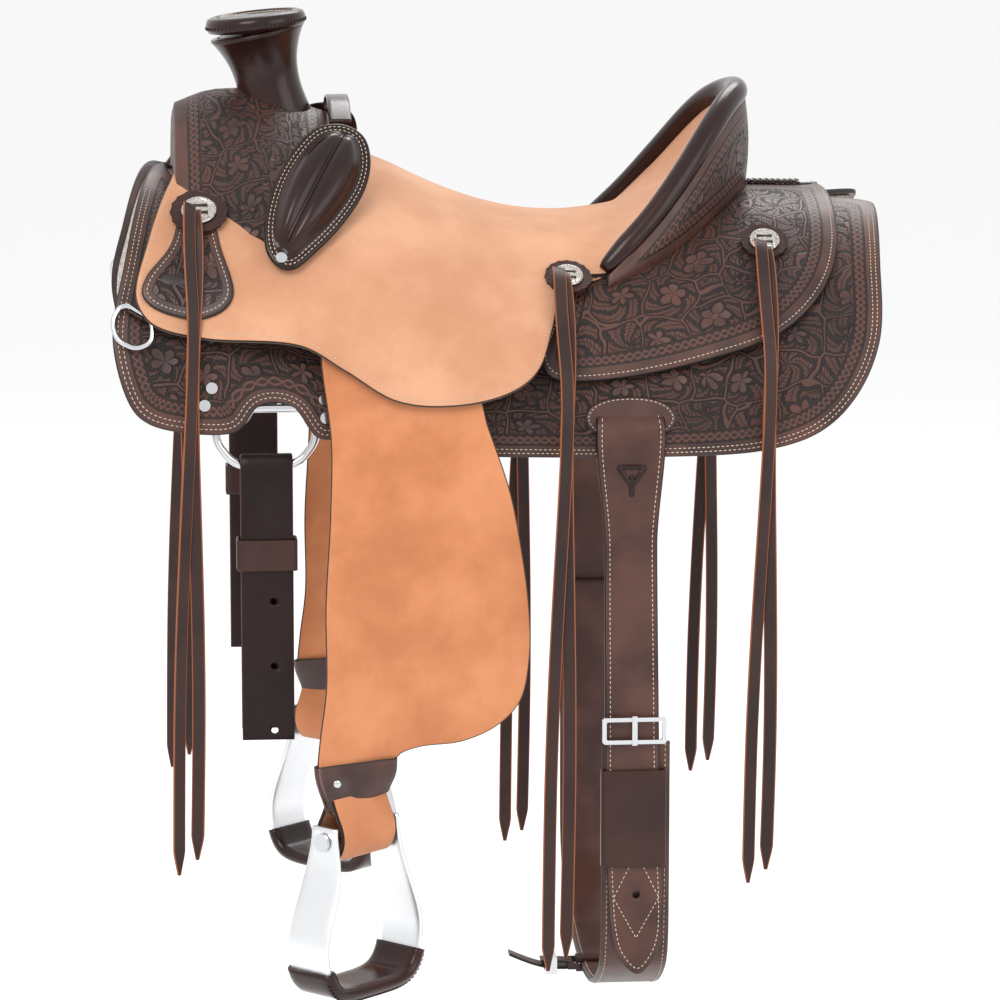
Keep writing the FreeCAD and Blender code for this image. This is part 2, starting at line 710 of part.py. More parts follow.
def make_strings():
    tails = []
    for name, route in STRING_ROUTES.items():
        x = STRING_X[name.split("_")[0]] + (6.0 if name.endswith("b") else -2.0)
        tails.append(strip(route, STRING_T, x - STRING_W / 2, x + STRING_W / 2, report="string " + name))
    return group([less(tail, seat_leather, holder_near) for tail in tails])


# ---------------------------------------------------------------- leathers, fenders and stirrups
def make_stirrup_leather():
    """Strap from the tree bar out under the seat jockey to the line the fender lifts about."""
    route = [(-118, 112), (-138, 100), (-181, 60), (-216, 12), (-236, -28), (-243.5, LIFT_Z + 1)]
    return strip(route, LEATHER_T, NECK_X - LEATHER_W / 2, NECK_X + LEATHER_W / 2)


FENDER_OUTLINE = [(-146, LIFT_Z - 2), (-172, -120), (-184, -240), (-182, -340), (-193, -400), (-121, -400),
                  (-112, -384), (-52, -384), (2, -352), (8, -262), (-10, -150), (-34, LIFT_Z - 2)]


NECK_Y = FENDER_Y - FENDER_T / 2


def neck_twist(thick, width):
    """Neck of the fender turning from flat to the stirrup's own direction."""
    wires = []
    for z, angle in ((-399, 0), (-412, 15), (-426, 32), (-438, STIRRUP_TURN)):
        pts = [V(-width / 2, -thick / 2, z), V(width / 2, -thick / 2, z), V(width / 2, thick / 2, z),
               V(-width / 2, thick / 2, z)]
        wire = Part.makePolygon(pts + pts[:1])
        wire.rotate(V(0, 0, 0), V(0, 0, 1), angle)
        wire.translate(V(NECK_X, NECK_Y, 0))
        wires.append(wire)
    return Part.makeLoft(wires, True, True)


def make_loop():
    """Leather loop round the stirrup bolt: down the outside, round, and up the inside."""
    r = LOOP_R
    route = [(-3, -436), (-r, BOLT_Z + 14), (-r, BOLT_Z - 8), (-r * 0.45, BOLT_Z - r - 2),
             (r * 0.45, BOLT_Z - r - 2),
             (r, BOLT_Z - 8), (r, BOLT_Z + 14), (3, -436)]
    shell = strip(route, LEATHER_T, -NECK_W / 2, NECK_W / 2)
    shell.rotate(V(0, 0, 0), V(0, 0, 1), STIRRUP_TURN)
    shell.translate(V(NECK_X, NECK_Y, 0))
    return shell


def make_fender():
    plate = side_prism(FENDER_OUTLINE, FENDER_Y - FENDER_T, FENDER_Y, share=0.4)
    solid = plate.fuse(neck_twist(NECK_T, NECK_W)).fuse(make_loop())
    return biggest(solid.removeSplitter())


def make_hobble():
    """Strap that gathers the fender's neck above the loop."""
    inner = 2 * (GAP + 0.2)
    outer = inner + 2 * HOBBLE_T
    sleeve = neck_twist(NECK_T + outer, NECK_W + outer).cut(neck_twist(NECK_T + inner, NECK_W + inner))
    return less(sleeve, make_fender())


def stirrup_place(shape):
    """Turns a shape from the stirrup's own frame to where the neck holds it."""
    shape = shape.copy()
    shape.rotate(V(0, 0, 0), V(0, 0, 1), STIRRUP_TURN)
    shape.translate(V(NECK_X, NECK_Y, 0))
    return shape


def stirrup_outline(grow):
    """Bell-shaped stirrup in its own (across, height) plane, outside line when grow is 0."""
    top, low = STIRRUP_TOP_W / 2 + grow, STIRRUP_LOW_W / 2 + grow
    z0 = BOLT_Z + 14 + grow
    base = BOLT_Z + 14 - STIRRUP_H - grow
    return [(-top, z0), (-top - 1, z0 - 40), (-low, z0 - 100), (-low + 4, base + 12), (-low * 0.55, base),
            (low * 0.55, base), (low - 4, base + 12), (low, z0 - 100), (top + 1, z0 - 40), (top, z0)]


def stirrup_band(grow, thick, half_depth):
    outer = Part.Face(rounded([(x, -half_depth, z) for x, z in stirrup_outline(grow)], share=0.4))
    inner = Part.Face(rounded([(x, -half_depth, z) for x, z in stirrup_outline(grow - thick)], share=0.4))
    way = V(0, 2 * half_depth, 0)
    return outer.extrude(way).cut(inner.extrude(way))


def make_stirrup():
    band = stirrup_band(0, STIRRUP_T, STIRRUP_DEPTH / 2)
    gap = box(-STIRRUP_TOP_W / 2 + STIRRUP_T, STIRRUP_TOP_W / 2 - STIRRUP_T, -40, 40, BOLT_Z - 20,
              BOLT_Z + 40)
    band = band.cut(gap)
    hole = Part.makeCylinder(BOLT_R + 0.05, 200, V(-100, 0, BOLT_Z), V(1, 0, 0))
    return stirrup_place(band.cut(hole))


def make_stirrup_bolt():
    """Bolt across the stirrup's top with its leather-covered spool."""
    length = STIRRUP_TOP_W + 8
    bolt = Part.makeCylinder(BOLT_R, length, V(-length / 2, 0, BOLT_Z), V(1, 0, 0))
    head = Part.makeCylinder(BOLT_R + 3, 3, V(-length / 2, 0, BOLT_Z), V(1, 0, 0))
    nut = Part.makeCylinder(BOLT_R + 3, 3, V(length / 2 - 3, 0, BOLT_Z), V(1, 0, 0))
    return stirrup_place(bolt.fuse(head).fuse(nut))


def make_tread_cover():
    """Leather wrap round the stirrup's foot rest."""
    wrap = stirrup_band(TREAD_T, STIRRUP_T + 2 * TREAD_T, STIRRUP_DEPTH / 2 + TREAD_T)
    core = stirrup_band(GAP, STIRRUP_T + 2 * GAP, STIRRUP_DEPTH / 2 + GAP)
    base = BOLT_Z + 14 - STIRRUP_H
    keep = box(-61, 61, -60, 60, base - 20, base + 24)
    return stirrup_place(biggest(wrap.cut(core).common(keep)))


# ---------------------------------------------------------------- latigo and billet
def make_latigo():
    """Doubled strap over the dee's bottom bar, holes in its front ply."""
    r = DEE_WIRE + 1.2 + LATIGO_T / 2
    front, rear = DEE_Y - r - 1, DEE_Y + r + 1
    route = [(rear, DEE_LOW_Z - LATIGO_LEN + 8), (rear, DEE_LOW_Z - 2), (rear, DEE_LOW_Z + r + 3),
             (front, DEE_LOW_Z + r + 3), (front, DEE_LOW_Z - 2), (front, DEE_LOW_Z - LATIGO_LEN)]
    x0, x1 = LATIGO_X - LATIGO_W / 2, LATIGO_X + LATIGO_W / 2
    strap = strip(route, LATIGO_T, x0, x1)
    holes = [Part.makeCylinder(HOLE_R, 40,
                               V(LATIGO_X + LATIGO_W / 2 - 19, DEE_Y - 20, HOLE_FIRST_Z - k * HOLE_PITCH),
                               V(0, 1, 0)) for k in range(3)]
    return less(strap, *holes)


def make_latigo_keeper():
    outer = box(LATIGO_X - LATIGO_W / 2 - 4, LATIGO_X + LATIGO_W / 2 + 4, DEE_Y - 14.5, DEE_Y + 14.5,
                -219, -189)
    inner = box(LATIGO_X - LATIGO_W / 2 - 1, LATIGO_X + LATIGO_W / 2 + 1, DEE_Y - 11.5, DEE_Y + 11.5,
                -240, -160)
    return outer.cut(inner)


# ---------------------------------------------------------------- flank set
CINCH_ROUTE_TOP = -392.0


def make_flank_billets():
    """Two billets from the skirt slots down, each lying outside its end of the flank cinch."""
    route = [(-208, -66), (BILLET_Y + BILLET_T / 2, -92), (BILLET_Y + BILLET_T / 2, -240),
             (BILLET_Y + BILLET_T / 2, -604)]
    outline = [(BILLET_X - 25, -40), (BILLET_X - 25, -340), (BILLET_X - 18, -582), (BILLET_X + 7, -624),
               (BILLET_X + 32, -582), (BILLET_X + 28, -340), (BILLET_X + 25, -40)]
    strap = strip(route, BILLET_T, 60, 160).common(side_prism(outline, -260, -180, share=0.2))
    hole = Part.makeCylinder(3.0, 40, V(BILLET_X + 6, -250, -542), V(0, 1, 0))
    slim = less(strap, hole)
    far = mirrored(strap.common(box(0, 300, -300, 0, -330, 0)))
    return group([slim, far])


def make_flank_cinch():
    """Flank strap hanging in a U under the belly from the near buckle to the off buckle."""
    y = -(-BILLET_Y - BILLET_T - 1.0)
    route = [(y + CINCH_T / 2, CINCH_ROUTE_TOP), (y + CINCH_T / 2, -560), (y + 30, -620), (-120, -664),
             (-40, CINCH_LOW_Z),
             (40, CINCH_LOW_Z), (120, -664), (-y - 30, -620), (-y - CINCH_T / 2, -560), (-y - CINCH_T / 2,
                                                                                         -318)]
    return strip(route, CINCH_T, BILLET_X + 6 - CINCH_W / 2, BILLET_X + 6 + CINCH_W / 2)


def buckle(width, height, wire, x, y, z):
    """Rectangular buckle frame lying in a side-view plane."""
    half, tall = width / 2, height / 2
    frame = side_prism([(x - half, z - tall), (x + half, z - tall), (x + half, z + tall),
                        (x - half, z + tall)],
                       y - wire, y, share=0.12)
    window = side_prism([(x - half + wire, z - tall + wire), (x + half - wire, z - tall + wire),
                         (x + half - wire, z + tall - wire), (x - half + wire,
                                                              z + tall - wire)], y - wire - 1, y + 1,
                        share=0.1)
    return frame.cut(window)


NEAR_BUCKLE_Z = -378.0
OFF_BUCKLE_Z = -292.0


BUCKLE_Y = BILLET_Y - 4.0    # inner face of a buckle frame
BUCKLE_WIRE = 4.0
BUCKLE_W = 62.0
NEAR_BUCKLE_H = 26.0
OFF_BUCKLE_H = 40.0


def make_flank_buckles():
    near = buckle(BUCKLE_W, NEAR_BUCKLE_H, BUCKLE_WIRE, BILLET_X + 3, BUCKLE_Y, NEAR_BUCKLE_Z)
    off = mirrored(buckle(BUCKLE_W, OFF_BUCKLE_H, BUCKLE_WIRE, BILLET_X + 3, BUCKLE_Y, OFF_BUCKLE_Z))
    return group([near, off])


def make_buckle_tongue(z, tall):
    """Tongue whose eye turns on the buckle's lower bar, lying over the upper bar."""
    bar_z = z - tall / 2 + BUCKLE_WIRE / 2
    bar_y = BUCKLE_Y - BUCKLE_WIRE / 2
    width = 5.0
    x0 = BILLET_X + 3 - width / 2
    inner = BUCKLE_WIRE * math.sqrt(0.5) + GAP
    eye = Part.makeCylinder(inner + 1.6, width, V(x0, bar_y, bar_z), V(1, 0, 0))
    face = BUCKLE_Y - BUCKLE_WIRE - GAP
    shank = box(x0, x0 + width, face - 2.4, face, bar_z, z + tall / 2 + 2)
    return eye.fuse(shank).cut(Part.makeCylinder(inner, width + 2, V(x0 - 1, bar_y, bar_z), V(1, 0, 0)))


def make_flank_keeper():
    """Sleeve that holds the near billet against the cinch."""
    x = BILLET_X + 4
    back = BILLET_Y + BILLET_T + 1.0 + CINCH_T
    outer = box(x - 39, x + 39, BILLET_Y - 3.4, back + 3.0, -514, -418)
    return outer.cut(box(x - 36, x + 36, BILLET_Y - 0.4, back + 0.6, -520, -410))


EYE_X = BILLET_X + 6 - CINCH_W / 2 - 10     # bar that the connector strap turns on
EYE_R = 2.0


def make_connector_keeper():
    """Sleeve round the flank cinch with a small bar at its front edge."""
    x0, x1 = BILLET_X + 6 - CINCH_W / 2, BILLET_X + 6 + CINCH_W / 2
    half = CINCH_T / 2
    sleeve = box(x0 - 4, x1 + 4, -9, 9, CINCH_LOW_Z - half - 4, CINCH_LOW_Z + half + 4)
    sleeve = sleeve.cut(box(x0 - 1, x1 + 1, -20, 20, CINCH_LOW_Z - half - 1, CINCH_LOW_Z + half + 1))
    arms = [box(EYE_X - 3, x0 - 2, side * 14 - 2, side * 14 + 2, CINCH_LOW_Z - 3,
                CINCH_LOW_Z + 3) for side in (-1, 1)]
    yoke = box(x0 - 4, x0 - 2, -16, 16, CINCH_LOW_Z - 3, CINCH_LOW_Z + 3)
    bar = Part.makeCylinder(EYE_R, 28, V(EYE_X, -14, CINCH_LOW_Z), V(0, 1, 0))
    return sleeve.fuse([*arms, yoke, bar]).removeSplitter()


def make_connector_strap():
    """Short strap turned round the keeper's bar and running forward to its buckle."""
    r = EYE_R + GAP + 1.4
    top = CINCH_LOW_Z
    wire = rounded([(EYE_X - 30, 0, top + 4.5), (EYE_X - 6, 0, top + r), (EYE_X + r, 0, top + r),
                    (EYE_X + r, 0, top - r),
                    (EYE_X - 6, 0, top - r), (EYE_X - 34, 0, top - 1.2), (EYE_X - 62, 0,
                                                                          top + 12)], closed=False,
                   share=0.4)
    return band(wire, 2.4, V(0, 20, 0)).translated(V(0, -10, 0))


def make_connector_buckle():
    """Small roller buckle round the connector strap."""
    x, z = EYE_X - 20, CINCH_LOW_Z + 0.8
    outer = box(x - 6, x + 6, -14, 14, z - 8.5, z + 8.5)
    return outer.cut(box(x - 9, x + 9, -11.2, 11.2, z - 6.2, z + 6.2))


# ---------------------------------------------------------------- build and export
cantle_roll = tube(RIM_PATH, ROLL_R)
cantle_roll_clear = tube(RIM_PATH, ROLL_R + GAP)
dee_near = dee_ring(DEE_WIRE)
dee_path_clear = dee_ring(DEE_WIRE + GAP)
bucking_near = make_bucking_roll()
seat_leather = make_seat()
holder_near = make_latigo_holder()

nodes = {
    "fork": make_fork(), "horn_core": make_horn_core(), "cantle_board": make_cantle_board(),
    "seat_strainer": make_strainer(), "fork_cover": make_fork_cover(), "horn_wrap": make_horn_wrap(),
    "horn_cap": make_horn_cap(), "seat_leather": seat_leather, "cantle_roll": cantle_roll,
    "cantle_back": make_cantle_back(), "roll_strap": make_roll_strap(), "roll_screws": make_roll_screws(),
    "jockey_lacing": make_jockey_lacing(), "rigging_rivets": make_rivets(),
    "concho_rosettes": make_rosettes(),
    "conchos": make_conchos(), "flank_billets": make_flank_billets(), "flank_cinch": make_flank_cinch(),
    "flank_buckles": make_flank_buckles(), "flank_keeper": make_flank_keeper(),
    "connector_strap": make_connector_strap(), "connector_keeper": make_connector_keeper(),
    "breast_tabs": make_breast_tabs(), "connector_buckle": make_connector_buckle(),
}
near_pieces = {
    "bar": make_bar(), "bucking_roll": bucking_near, "skirt": make_skirt(), "fleece": make_fleece(),
    "rear_jockey": make_rear_jockey(), "rigging_dee": dee_near, "latigo_holder": holder_near,
    "strings": make_strings(), "breast_dee": breast_ring(BREAST_WIRE),
    "stirrup_leather": make_stirrup_leather(),
    "fender": make_fender(), "hobble_strap": make_hobble(), "stirrup": make_stirrup(),
    "stirrup_bolt": make_stirrup_bolt(), "tread_cover": make_tread_cover(),
    "latigo_keeper": make_latigo_keeper(),
    "buckle_tongue": make_buckle_tongue(NEAR_BUCKLE_Z, NEAR_BUCKLE_H),
}
for name, shape in near_pieces.items():
    nodes[name + "_near"] = shape
    if name != "buckle_tongue":
        nodes[name + "_off"] = mirrored(shape)
nodes["buckle_tongue_off"] = mirrored(make_buckle_tongue(OFF_BUCKLE_Z, OFF_BUCKLE_H))
nodes["latigo_near"] = make_latigo()
nodes["off_billet"] = mirrored(make_latigo())

os.makedirs("parts", exist_ok=True)
for name, shape in nodes.items():
    shape.exportStep("parts/" + name + ".step")
    print(name, len(shape.Solids), round(shape.Volume), shape.isValid(), [round(c) for c in (
        shape.BoundBox.XMin, shape.BoundBox.XMax, shape.BoundBox.YMin, shape.BoundBox.YMax,
        shape.BoundBox.ZMin,
        shape.BoundBox.ZMax)])
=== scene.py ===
"""Looks of a western stock saddle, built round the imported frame.

Everything is in metres in the frame's own axes: +Z up, -X towards the horn, +X towards the cantle,
-Y the near side. Leather is cut flat, laid over the form it was shaped on and given its thickness.
"""
import logging
import math
from dataclasses import dataclass, field
from enum import Enum
from typing import Callable, Optional, Sequence

import bmesh
import bpy
import numpy as np
from mathutils import Matrix, Vector, noise


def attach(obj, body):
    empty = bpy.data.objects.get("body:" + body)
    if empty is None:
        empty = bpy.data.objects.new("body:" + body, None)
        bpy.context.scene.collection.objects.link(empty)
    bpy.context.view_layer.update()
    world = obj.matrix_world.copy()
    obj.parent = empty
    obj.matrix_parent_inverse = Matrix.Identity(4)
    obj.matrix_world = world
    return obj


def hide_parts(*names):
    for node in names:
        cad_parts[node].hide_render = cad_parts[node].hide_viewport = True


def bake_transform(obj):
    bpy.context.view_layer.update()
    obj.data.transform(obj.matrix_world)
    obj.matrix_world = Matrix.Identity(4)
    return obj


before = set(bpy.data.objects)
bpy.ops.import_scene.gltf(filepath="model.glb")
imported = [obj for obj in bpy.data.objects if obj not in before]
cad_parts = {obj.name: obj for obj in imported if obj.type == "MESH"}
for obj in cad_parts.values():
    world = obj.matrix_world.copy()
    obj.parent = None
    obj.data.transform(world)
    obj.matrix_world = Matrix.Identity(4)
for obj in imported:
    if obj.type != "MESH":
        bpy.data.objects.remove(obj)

logging.basicConfig(level=logging.INFO, format="%(message)s")
log = logging.getLogger("saddle")

Place = Callable[[float, float, float], Vector]
Flat = tuple[float, float]
Table = Sequence[tuple[float, float]]

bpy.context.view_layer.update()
MM = 0.001


class Side(Enum):
    """Near (left) or off (right) side of the horse."""

    NEAR = -1
    OFF = 1

    @property
    def tag(self) -> str:
        """Ending of this side's node and body names."""
        return "near" if self is Side.NEAR else "off"


# ---------------------------------------------------------------- forms that leather is shaped on
def lerp(table: Table, x: float) -> float:
    """Value of a station table at x, straight between its rows."""
    for (x0, v0), (x1, v1) in zip(table, table[1:]):
        if x <= x1:
            return v0 + (v1 - v0) * (x - x0) / (x1 - x0)
    return table[-1][1]


def smooth(table: Table, x: float, reach: float = 0.030) -> float:
    """Station table at x, averaged over a short reach so that it has no corners."""
    return sum(lerp(table, x + reach * k / 3.0) for k in range(-3, 4)) / 7.0


def ease(low: float, high: float, value: float) -> float:
    """Smooth step from 0 at low to 1 at high."""
    t = min(1.0, max(0.0, (value - low) / (high - low)))
    return t * t * (3 - 2 * t)


@dataclass(frozen=True)
class Arch:
    """Half-ellipse across the saddle whose crest and half width change along it.

    The flat pattern's first coordinate is x and its second runs up the near side, over the crest
    and down the off side.
    """

    crest: Table
    half: Table
    foot: float = -0.125
    turn: float = 0.25

    def angle(self, x: float, z: float) -> float:
        """Angle round the arch of a near-side point at height z."""
        share = (z - self.foot) / (smooth(self.crest, x) - self.foot)
        return math.asin(min(1.0, max(-1.0, share)))

    def flat(self, x: float, z: float, over: bool = False) -> Flat:
        """Flat pattern point of a side-view point, on the off side when over is true."""
        angle = self.angle(x, z)
        return x, self.turn * (math.pi - angle if over else angle)

    def at(self, x: float, s: float) -> Vector:
        """Point on the form at a flat pattern point."""
        angle = s / self.turn
        rise = smooth(self.crest, x) - self.foot
        return Vector((x, -smooth(self.half, x) * math.cos(angle), self.foot + rise * math.sin(angle)))

    def normal(self, x: float, s: float) -> Vector:
        """Outward unit normal at a flat pattern point."""
        step = 0.002
        along = self.at(x + step, s) - self.at(x - step, s)
        round_it = self.at(x, s + step) - self.at(x, s - step)
        return along.cross(round_it).normalized() * -1.0 if along.cross(round_it).dot(self.at(x, s)
            - Vector((x, 0, self.foot))) < 0 else along.cross(round_it).normalized()

    def place(self, x: float, s: float, lift: float) -> Vector:
        """Point lifted off the form along its normal."""
        return self.at(x, s) + self.normal(x, s) * lift


def table(*rows: tuple[float, float]) -> Table:
    """Station table given in millimetres."""
    return tuple((x * MM, v * MM) for x, v in rows)


BACK_CREST = table((-420, 165), (-340, 150), (-240, 128), (-130, 96), (0, 70), (120, 78),
    (230, 102), (300, 112), (400, 122))
SEAT_CREST = table((-420, 172), (-300, 166), (-200, 165), (-133, 159), (-79, 130), (-20, 107),
    (40, 96), (90, 100), (140, 112))
SEAT_HALF = table((-420, 237), (-300, 243), (-200, 262), (-133, 267), (-79, 268), (-20, 266),
    (40, 258), (90, 250), (140, 246))
JOCKEY_UP = table((-420, 21), (150, 21), (225, 19), (300, 5), (400, 3))
BACK = Arch(BACK_CREST, table((-420, 225), (400, 225)))
SEAT = Arch(SEAT_CREST, SEAT_HALF)
JOCKEY = Arch(tuple((x * MM, smooth(BACK_CREST, x * MM) + lerp(JOCKEY_UP, x * MM)) for
    x in range(-420, 401, 20)), table((-420, 231), (230, 231), (310, 227.5), (400, 227)))

# cantle dish by station x: half width at the rim, rim height, centre height
DISH = ((0.088, 0.150, 0.0560, 0.1000), (0.127, 0.138, 0.091, 0.104), (0.168, 0.114, 0.142, 0.122),
    (0.198, 0.084, 0.184, 0.154), (0.216, 0.056, 0.205, 0.186), (0.229, 0.022, 0.216, 0.210))
DISH_START = DISH[0][0]


def dish_at(x: float, s: float) -> Vector:
    """Point of the seat's dish behind its waist, at a flat pattern point."""
    half = smooth(tuple((r[0], r[1]) for r in DISH), x, 0.008)
    rim = smooth(tuple((r[0], r[2]) for r in DISH), x, 0.008)
    middle = smooth(tuple((r[0], r[3]) for r in DISH), x, 0.012)
    start = math.acos(DISH[0][1] / smooth(SEAT_HALF, DISH_START))
    share = -math.cos(s / SEAT.turn) / math.cos(start)
    share = max(-1.05, min(1.05, share))
    return Vector((x, half * share, middle + (rim - middle) * abs(share) ** 2.2))


def seat_at(x: float, s: float) -> Vector:
    """Point of the whole seat leather, the arch in front and the dish behind, at a flat pattern point."""
    blend = ease(DISH_START - 0.035, DISH_START + 0.012, x)
    if blend <= 0:
        return SEAT.at(x, s)
    behind = dish_at(max(x, DISH_START - 0.02), s)
    behind.x = x
    if blend >= 1:
        return behind
    return SEAT.at(x, s).lerp(behind, blend) if abs(math.cos(s / SEAT.turn)) < 0.60 else SEAT.at(x, s)


def seat_place(x: float, s: float, lift: float) -> Vector:
    """Seat leather point lifted along the surface's normal."""
    step = 0.002
    across = (seat_at(x + step, s) - seat_at(x - step, s)).cross(seat_at(x, s + step) - seat_at(x, s - step))
    normal = across.normalized()
    if normal.z < 0 and abs(normal.z) > 0.2 or normal.dot(Vector((0, seat_at(x, s).y, 0.05))) < -0.2:
        normal = -normal
    return seat_at(x, s) + normal * lift


# ---------------------------------------------------------------- outlines and meshes
def closed_curve(points: Sequence[Flat], step: float) -> list[Flat]:
    """Smooth closed curve through the points, in nearly even steps.

    Args:
        points: Points of the outline in order.
        step: Distance between the points of the result.

    Returns:
        The points of the curve.
    """
    pts = [Vector(p) for p in points]
    count = len(pts)
    dense: list[Vector] = []
    for k in range(count):
        p0, p1, p2, p3 = pts[k - 1], pts[k], pts[(k + 1) % count], pts[(k + 2) % count]
        steps = max(4, int((p2 - p1).length / step * 3))
        d0, d1, d2 = ((b - a).length ** 0.5 + 1e-6 for a, b in ((p0, p1), (p1, p2), (p2, p3)))
        m1 = (p2 - p1) + ((p1 - p0) / d0 - (p2 - p0) / (d0 + d1)) * d1
        m2 = (p2 - p1) + ((p3 - p2) / d2 - (p3 - p1) / (d1 + d2)) * d1
        for j in range(steps):
            t = j / steps
            dense.append(p1 * (2 * t ** 3 - 3 * t ** 2 + 1) + m1 * (t ** 3 - 2 * t ** 2 + t)
                + p2 * (3 * t ** 2 - 2 * t ** 3) + m2 * (t ** 3 - t ** 2))
    return even_steps(dense, step, closed=True)


def even_steps(points: Sequence[Vector], step: float, closed: bool) -> list[tuple[float, ...]]:
    """Polyline resampled in even steps.

    Args:
        points: Points of the polyline, of any dimension.
        step: Wanted distance between neighbours.
        closed: Whether the last point runs on to the first.

    Returns:
        The new points as tuples.
    """
    line = np.array([tuple(p) for p in points], float)
    if closed:
        line = np.vstack([line, line[:1]])
    run = np.concatenate([[0.0], np.cumsum(np.linalg.norm(np.diff(line, axis=0), axis=1))])
    count = max(3, int(round(run[-1] / step)))
    where = np.linspace(0, run[-1], count + 1)
    if closed:
        where = where[:-1]
    return [tuple(row) for row in np.stack([np.interp(where, run, line[:, k]) for k in range(line.shape[1])],
        axis=1)]


def edge_measure(points: np.ndarray, loop: np.ndarray) -> tuple[np.ndarray, np.ndarray, float]:
    """Distance of points from a closed outline, and how far round it the nearest spot is.

    Args:
        points: Flat points, one row each.
        loop: Points of the closed outline.

    Returns:
        Distances, runs along the outline, and the outline's length.
    """
    ahead = np.roll(loop, -1, axis=0)
    way = ahead - loop
    length = np.linalg.norm(way, axis=1)
    start = np.concatenate([[0.0], np.cumsum(length)[:-1]])
    best = np.full(len(points), 1e9)
    run = np.zeros(len(points))
    for k in range(len(loop)):
        t = np.clip(((points - loop[k]) @ way[k]) / max(length[k] ** 2, 1e-12), 0, 1)
        gap = np.linalg.norm(points - (loop[k] + t[:, None] * way[k]), axis=1)
        near = gap < best
        best[near] = gap[near]
        run[near] = start[k] + t[near] * length[k]
    return best, run, float(length.sum())


def to_object(name: str, bm: bmesh.types.BMesh, material: bpy.types.Material, smooth_faces:
        bool = True) -> bpy.types.Object:
    """Object at the origin from a finished bmesh, with one material."""
    mesh = bpy.data.meshes.new(name)
    bm.to_mesh(mesh)
    bm.free()
    mesh.materials.append(material)
    mesh.polygons.foreach_set("use_smooth", [smooth_faces] * len(mesh.polygons))
    piece = bpy.data.objects.new(name, mesh)
    bpy.context.scene.collection.objects.link(piece)
    return piece


def other_side(piece: bpy.types.Object, name: str) -> bpy.types.Object:
    """Mirror image of a near piece, as the off piece."""
    bm = bmesh.new()
    bm.from_mesh(piece.data)
    bmesh.ops.scale(bm, vec=(1, -1, 1), verts=bm.verts)
    bmesh.ops.reverse_faces(bm, faces=bm.faces)
    twin = to_object(name, bm, piece.data.materials[0])
    for extra in list(piece.data.materials)[1:]:
        twin.data.materials.append(extra)
    twin.data.polygons.foreach_set("use_smooth", [p.use_smooth for p in piece.data.polygons])
    for modifier in piece.modifiers:
        copy = twin.modifiers.new(modifier.name, modifier.type)
        for key in ("levels", "render_levels", "width", "segments", "limit_method", "angle_limit"):
            if hasattr(modifier, key):
                setattr(copy, key, getattr(modifier, key))
    return twin


def thicken(bm: bmesh.types.BMesh, lows: dict[bmesh.types.BMVert, Vector]) -> None:
    """Close an open surface with its back, whose place is given for every vertex.

    Args:
        bm: Open surface with its faces looking outward.
        lows: Where the back of every vertex lies.
    """
    front = list(bm.faces)
    rim = [edge for edge in bm.edges if edge.is_boundary]
    copy = bmesh.ops.duplicate(bm, geom=[*lows, *bm.edges, *front])
    back_of = copy["vert_map"]
    for vert, low in lows.items():
        back_of[vert].co = low
    bmesh.ops.reverse_faces(bm, faces=[item for item in copy["geom"] if isinstance(item, bmesh.types.BMFace)])
    layers = [layer for layer in bm.loops.layers.uv.values()]
    for edge in rim:
        corner = edge.link_loops[0]
        ahead = corner.link_loop_next
        a, b = corner.vert, ahead.vert
        wall = bm.faces.new((b, a, back_of[a], back_of[b]))
        for layer in layers:
            for loop, source in zip(wall.loops, (ahead, corner, corner, ahead)):
                loop[layer].uv = source[layer].uv


def thicken_evenly(bm: bmesh.types.BMesh, thickness: float) -> None:
    """Close an open surface with a back at an even depth under it."""
    bm.normal_update()
    thicken(bm, {vert: vert.co - vert.normal * thickness for vert in bm.verts})


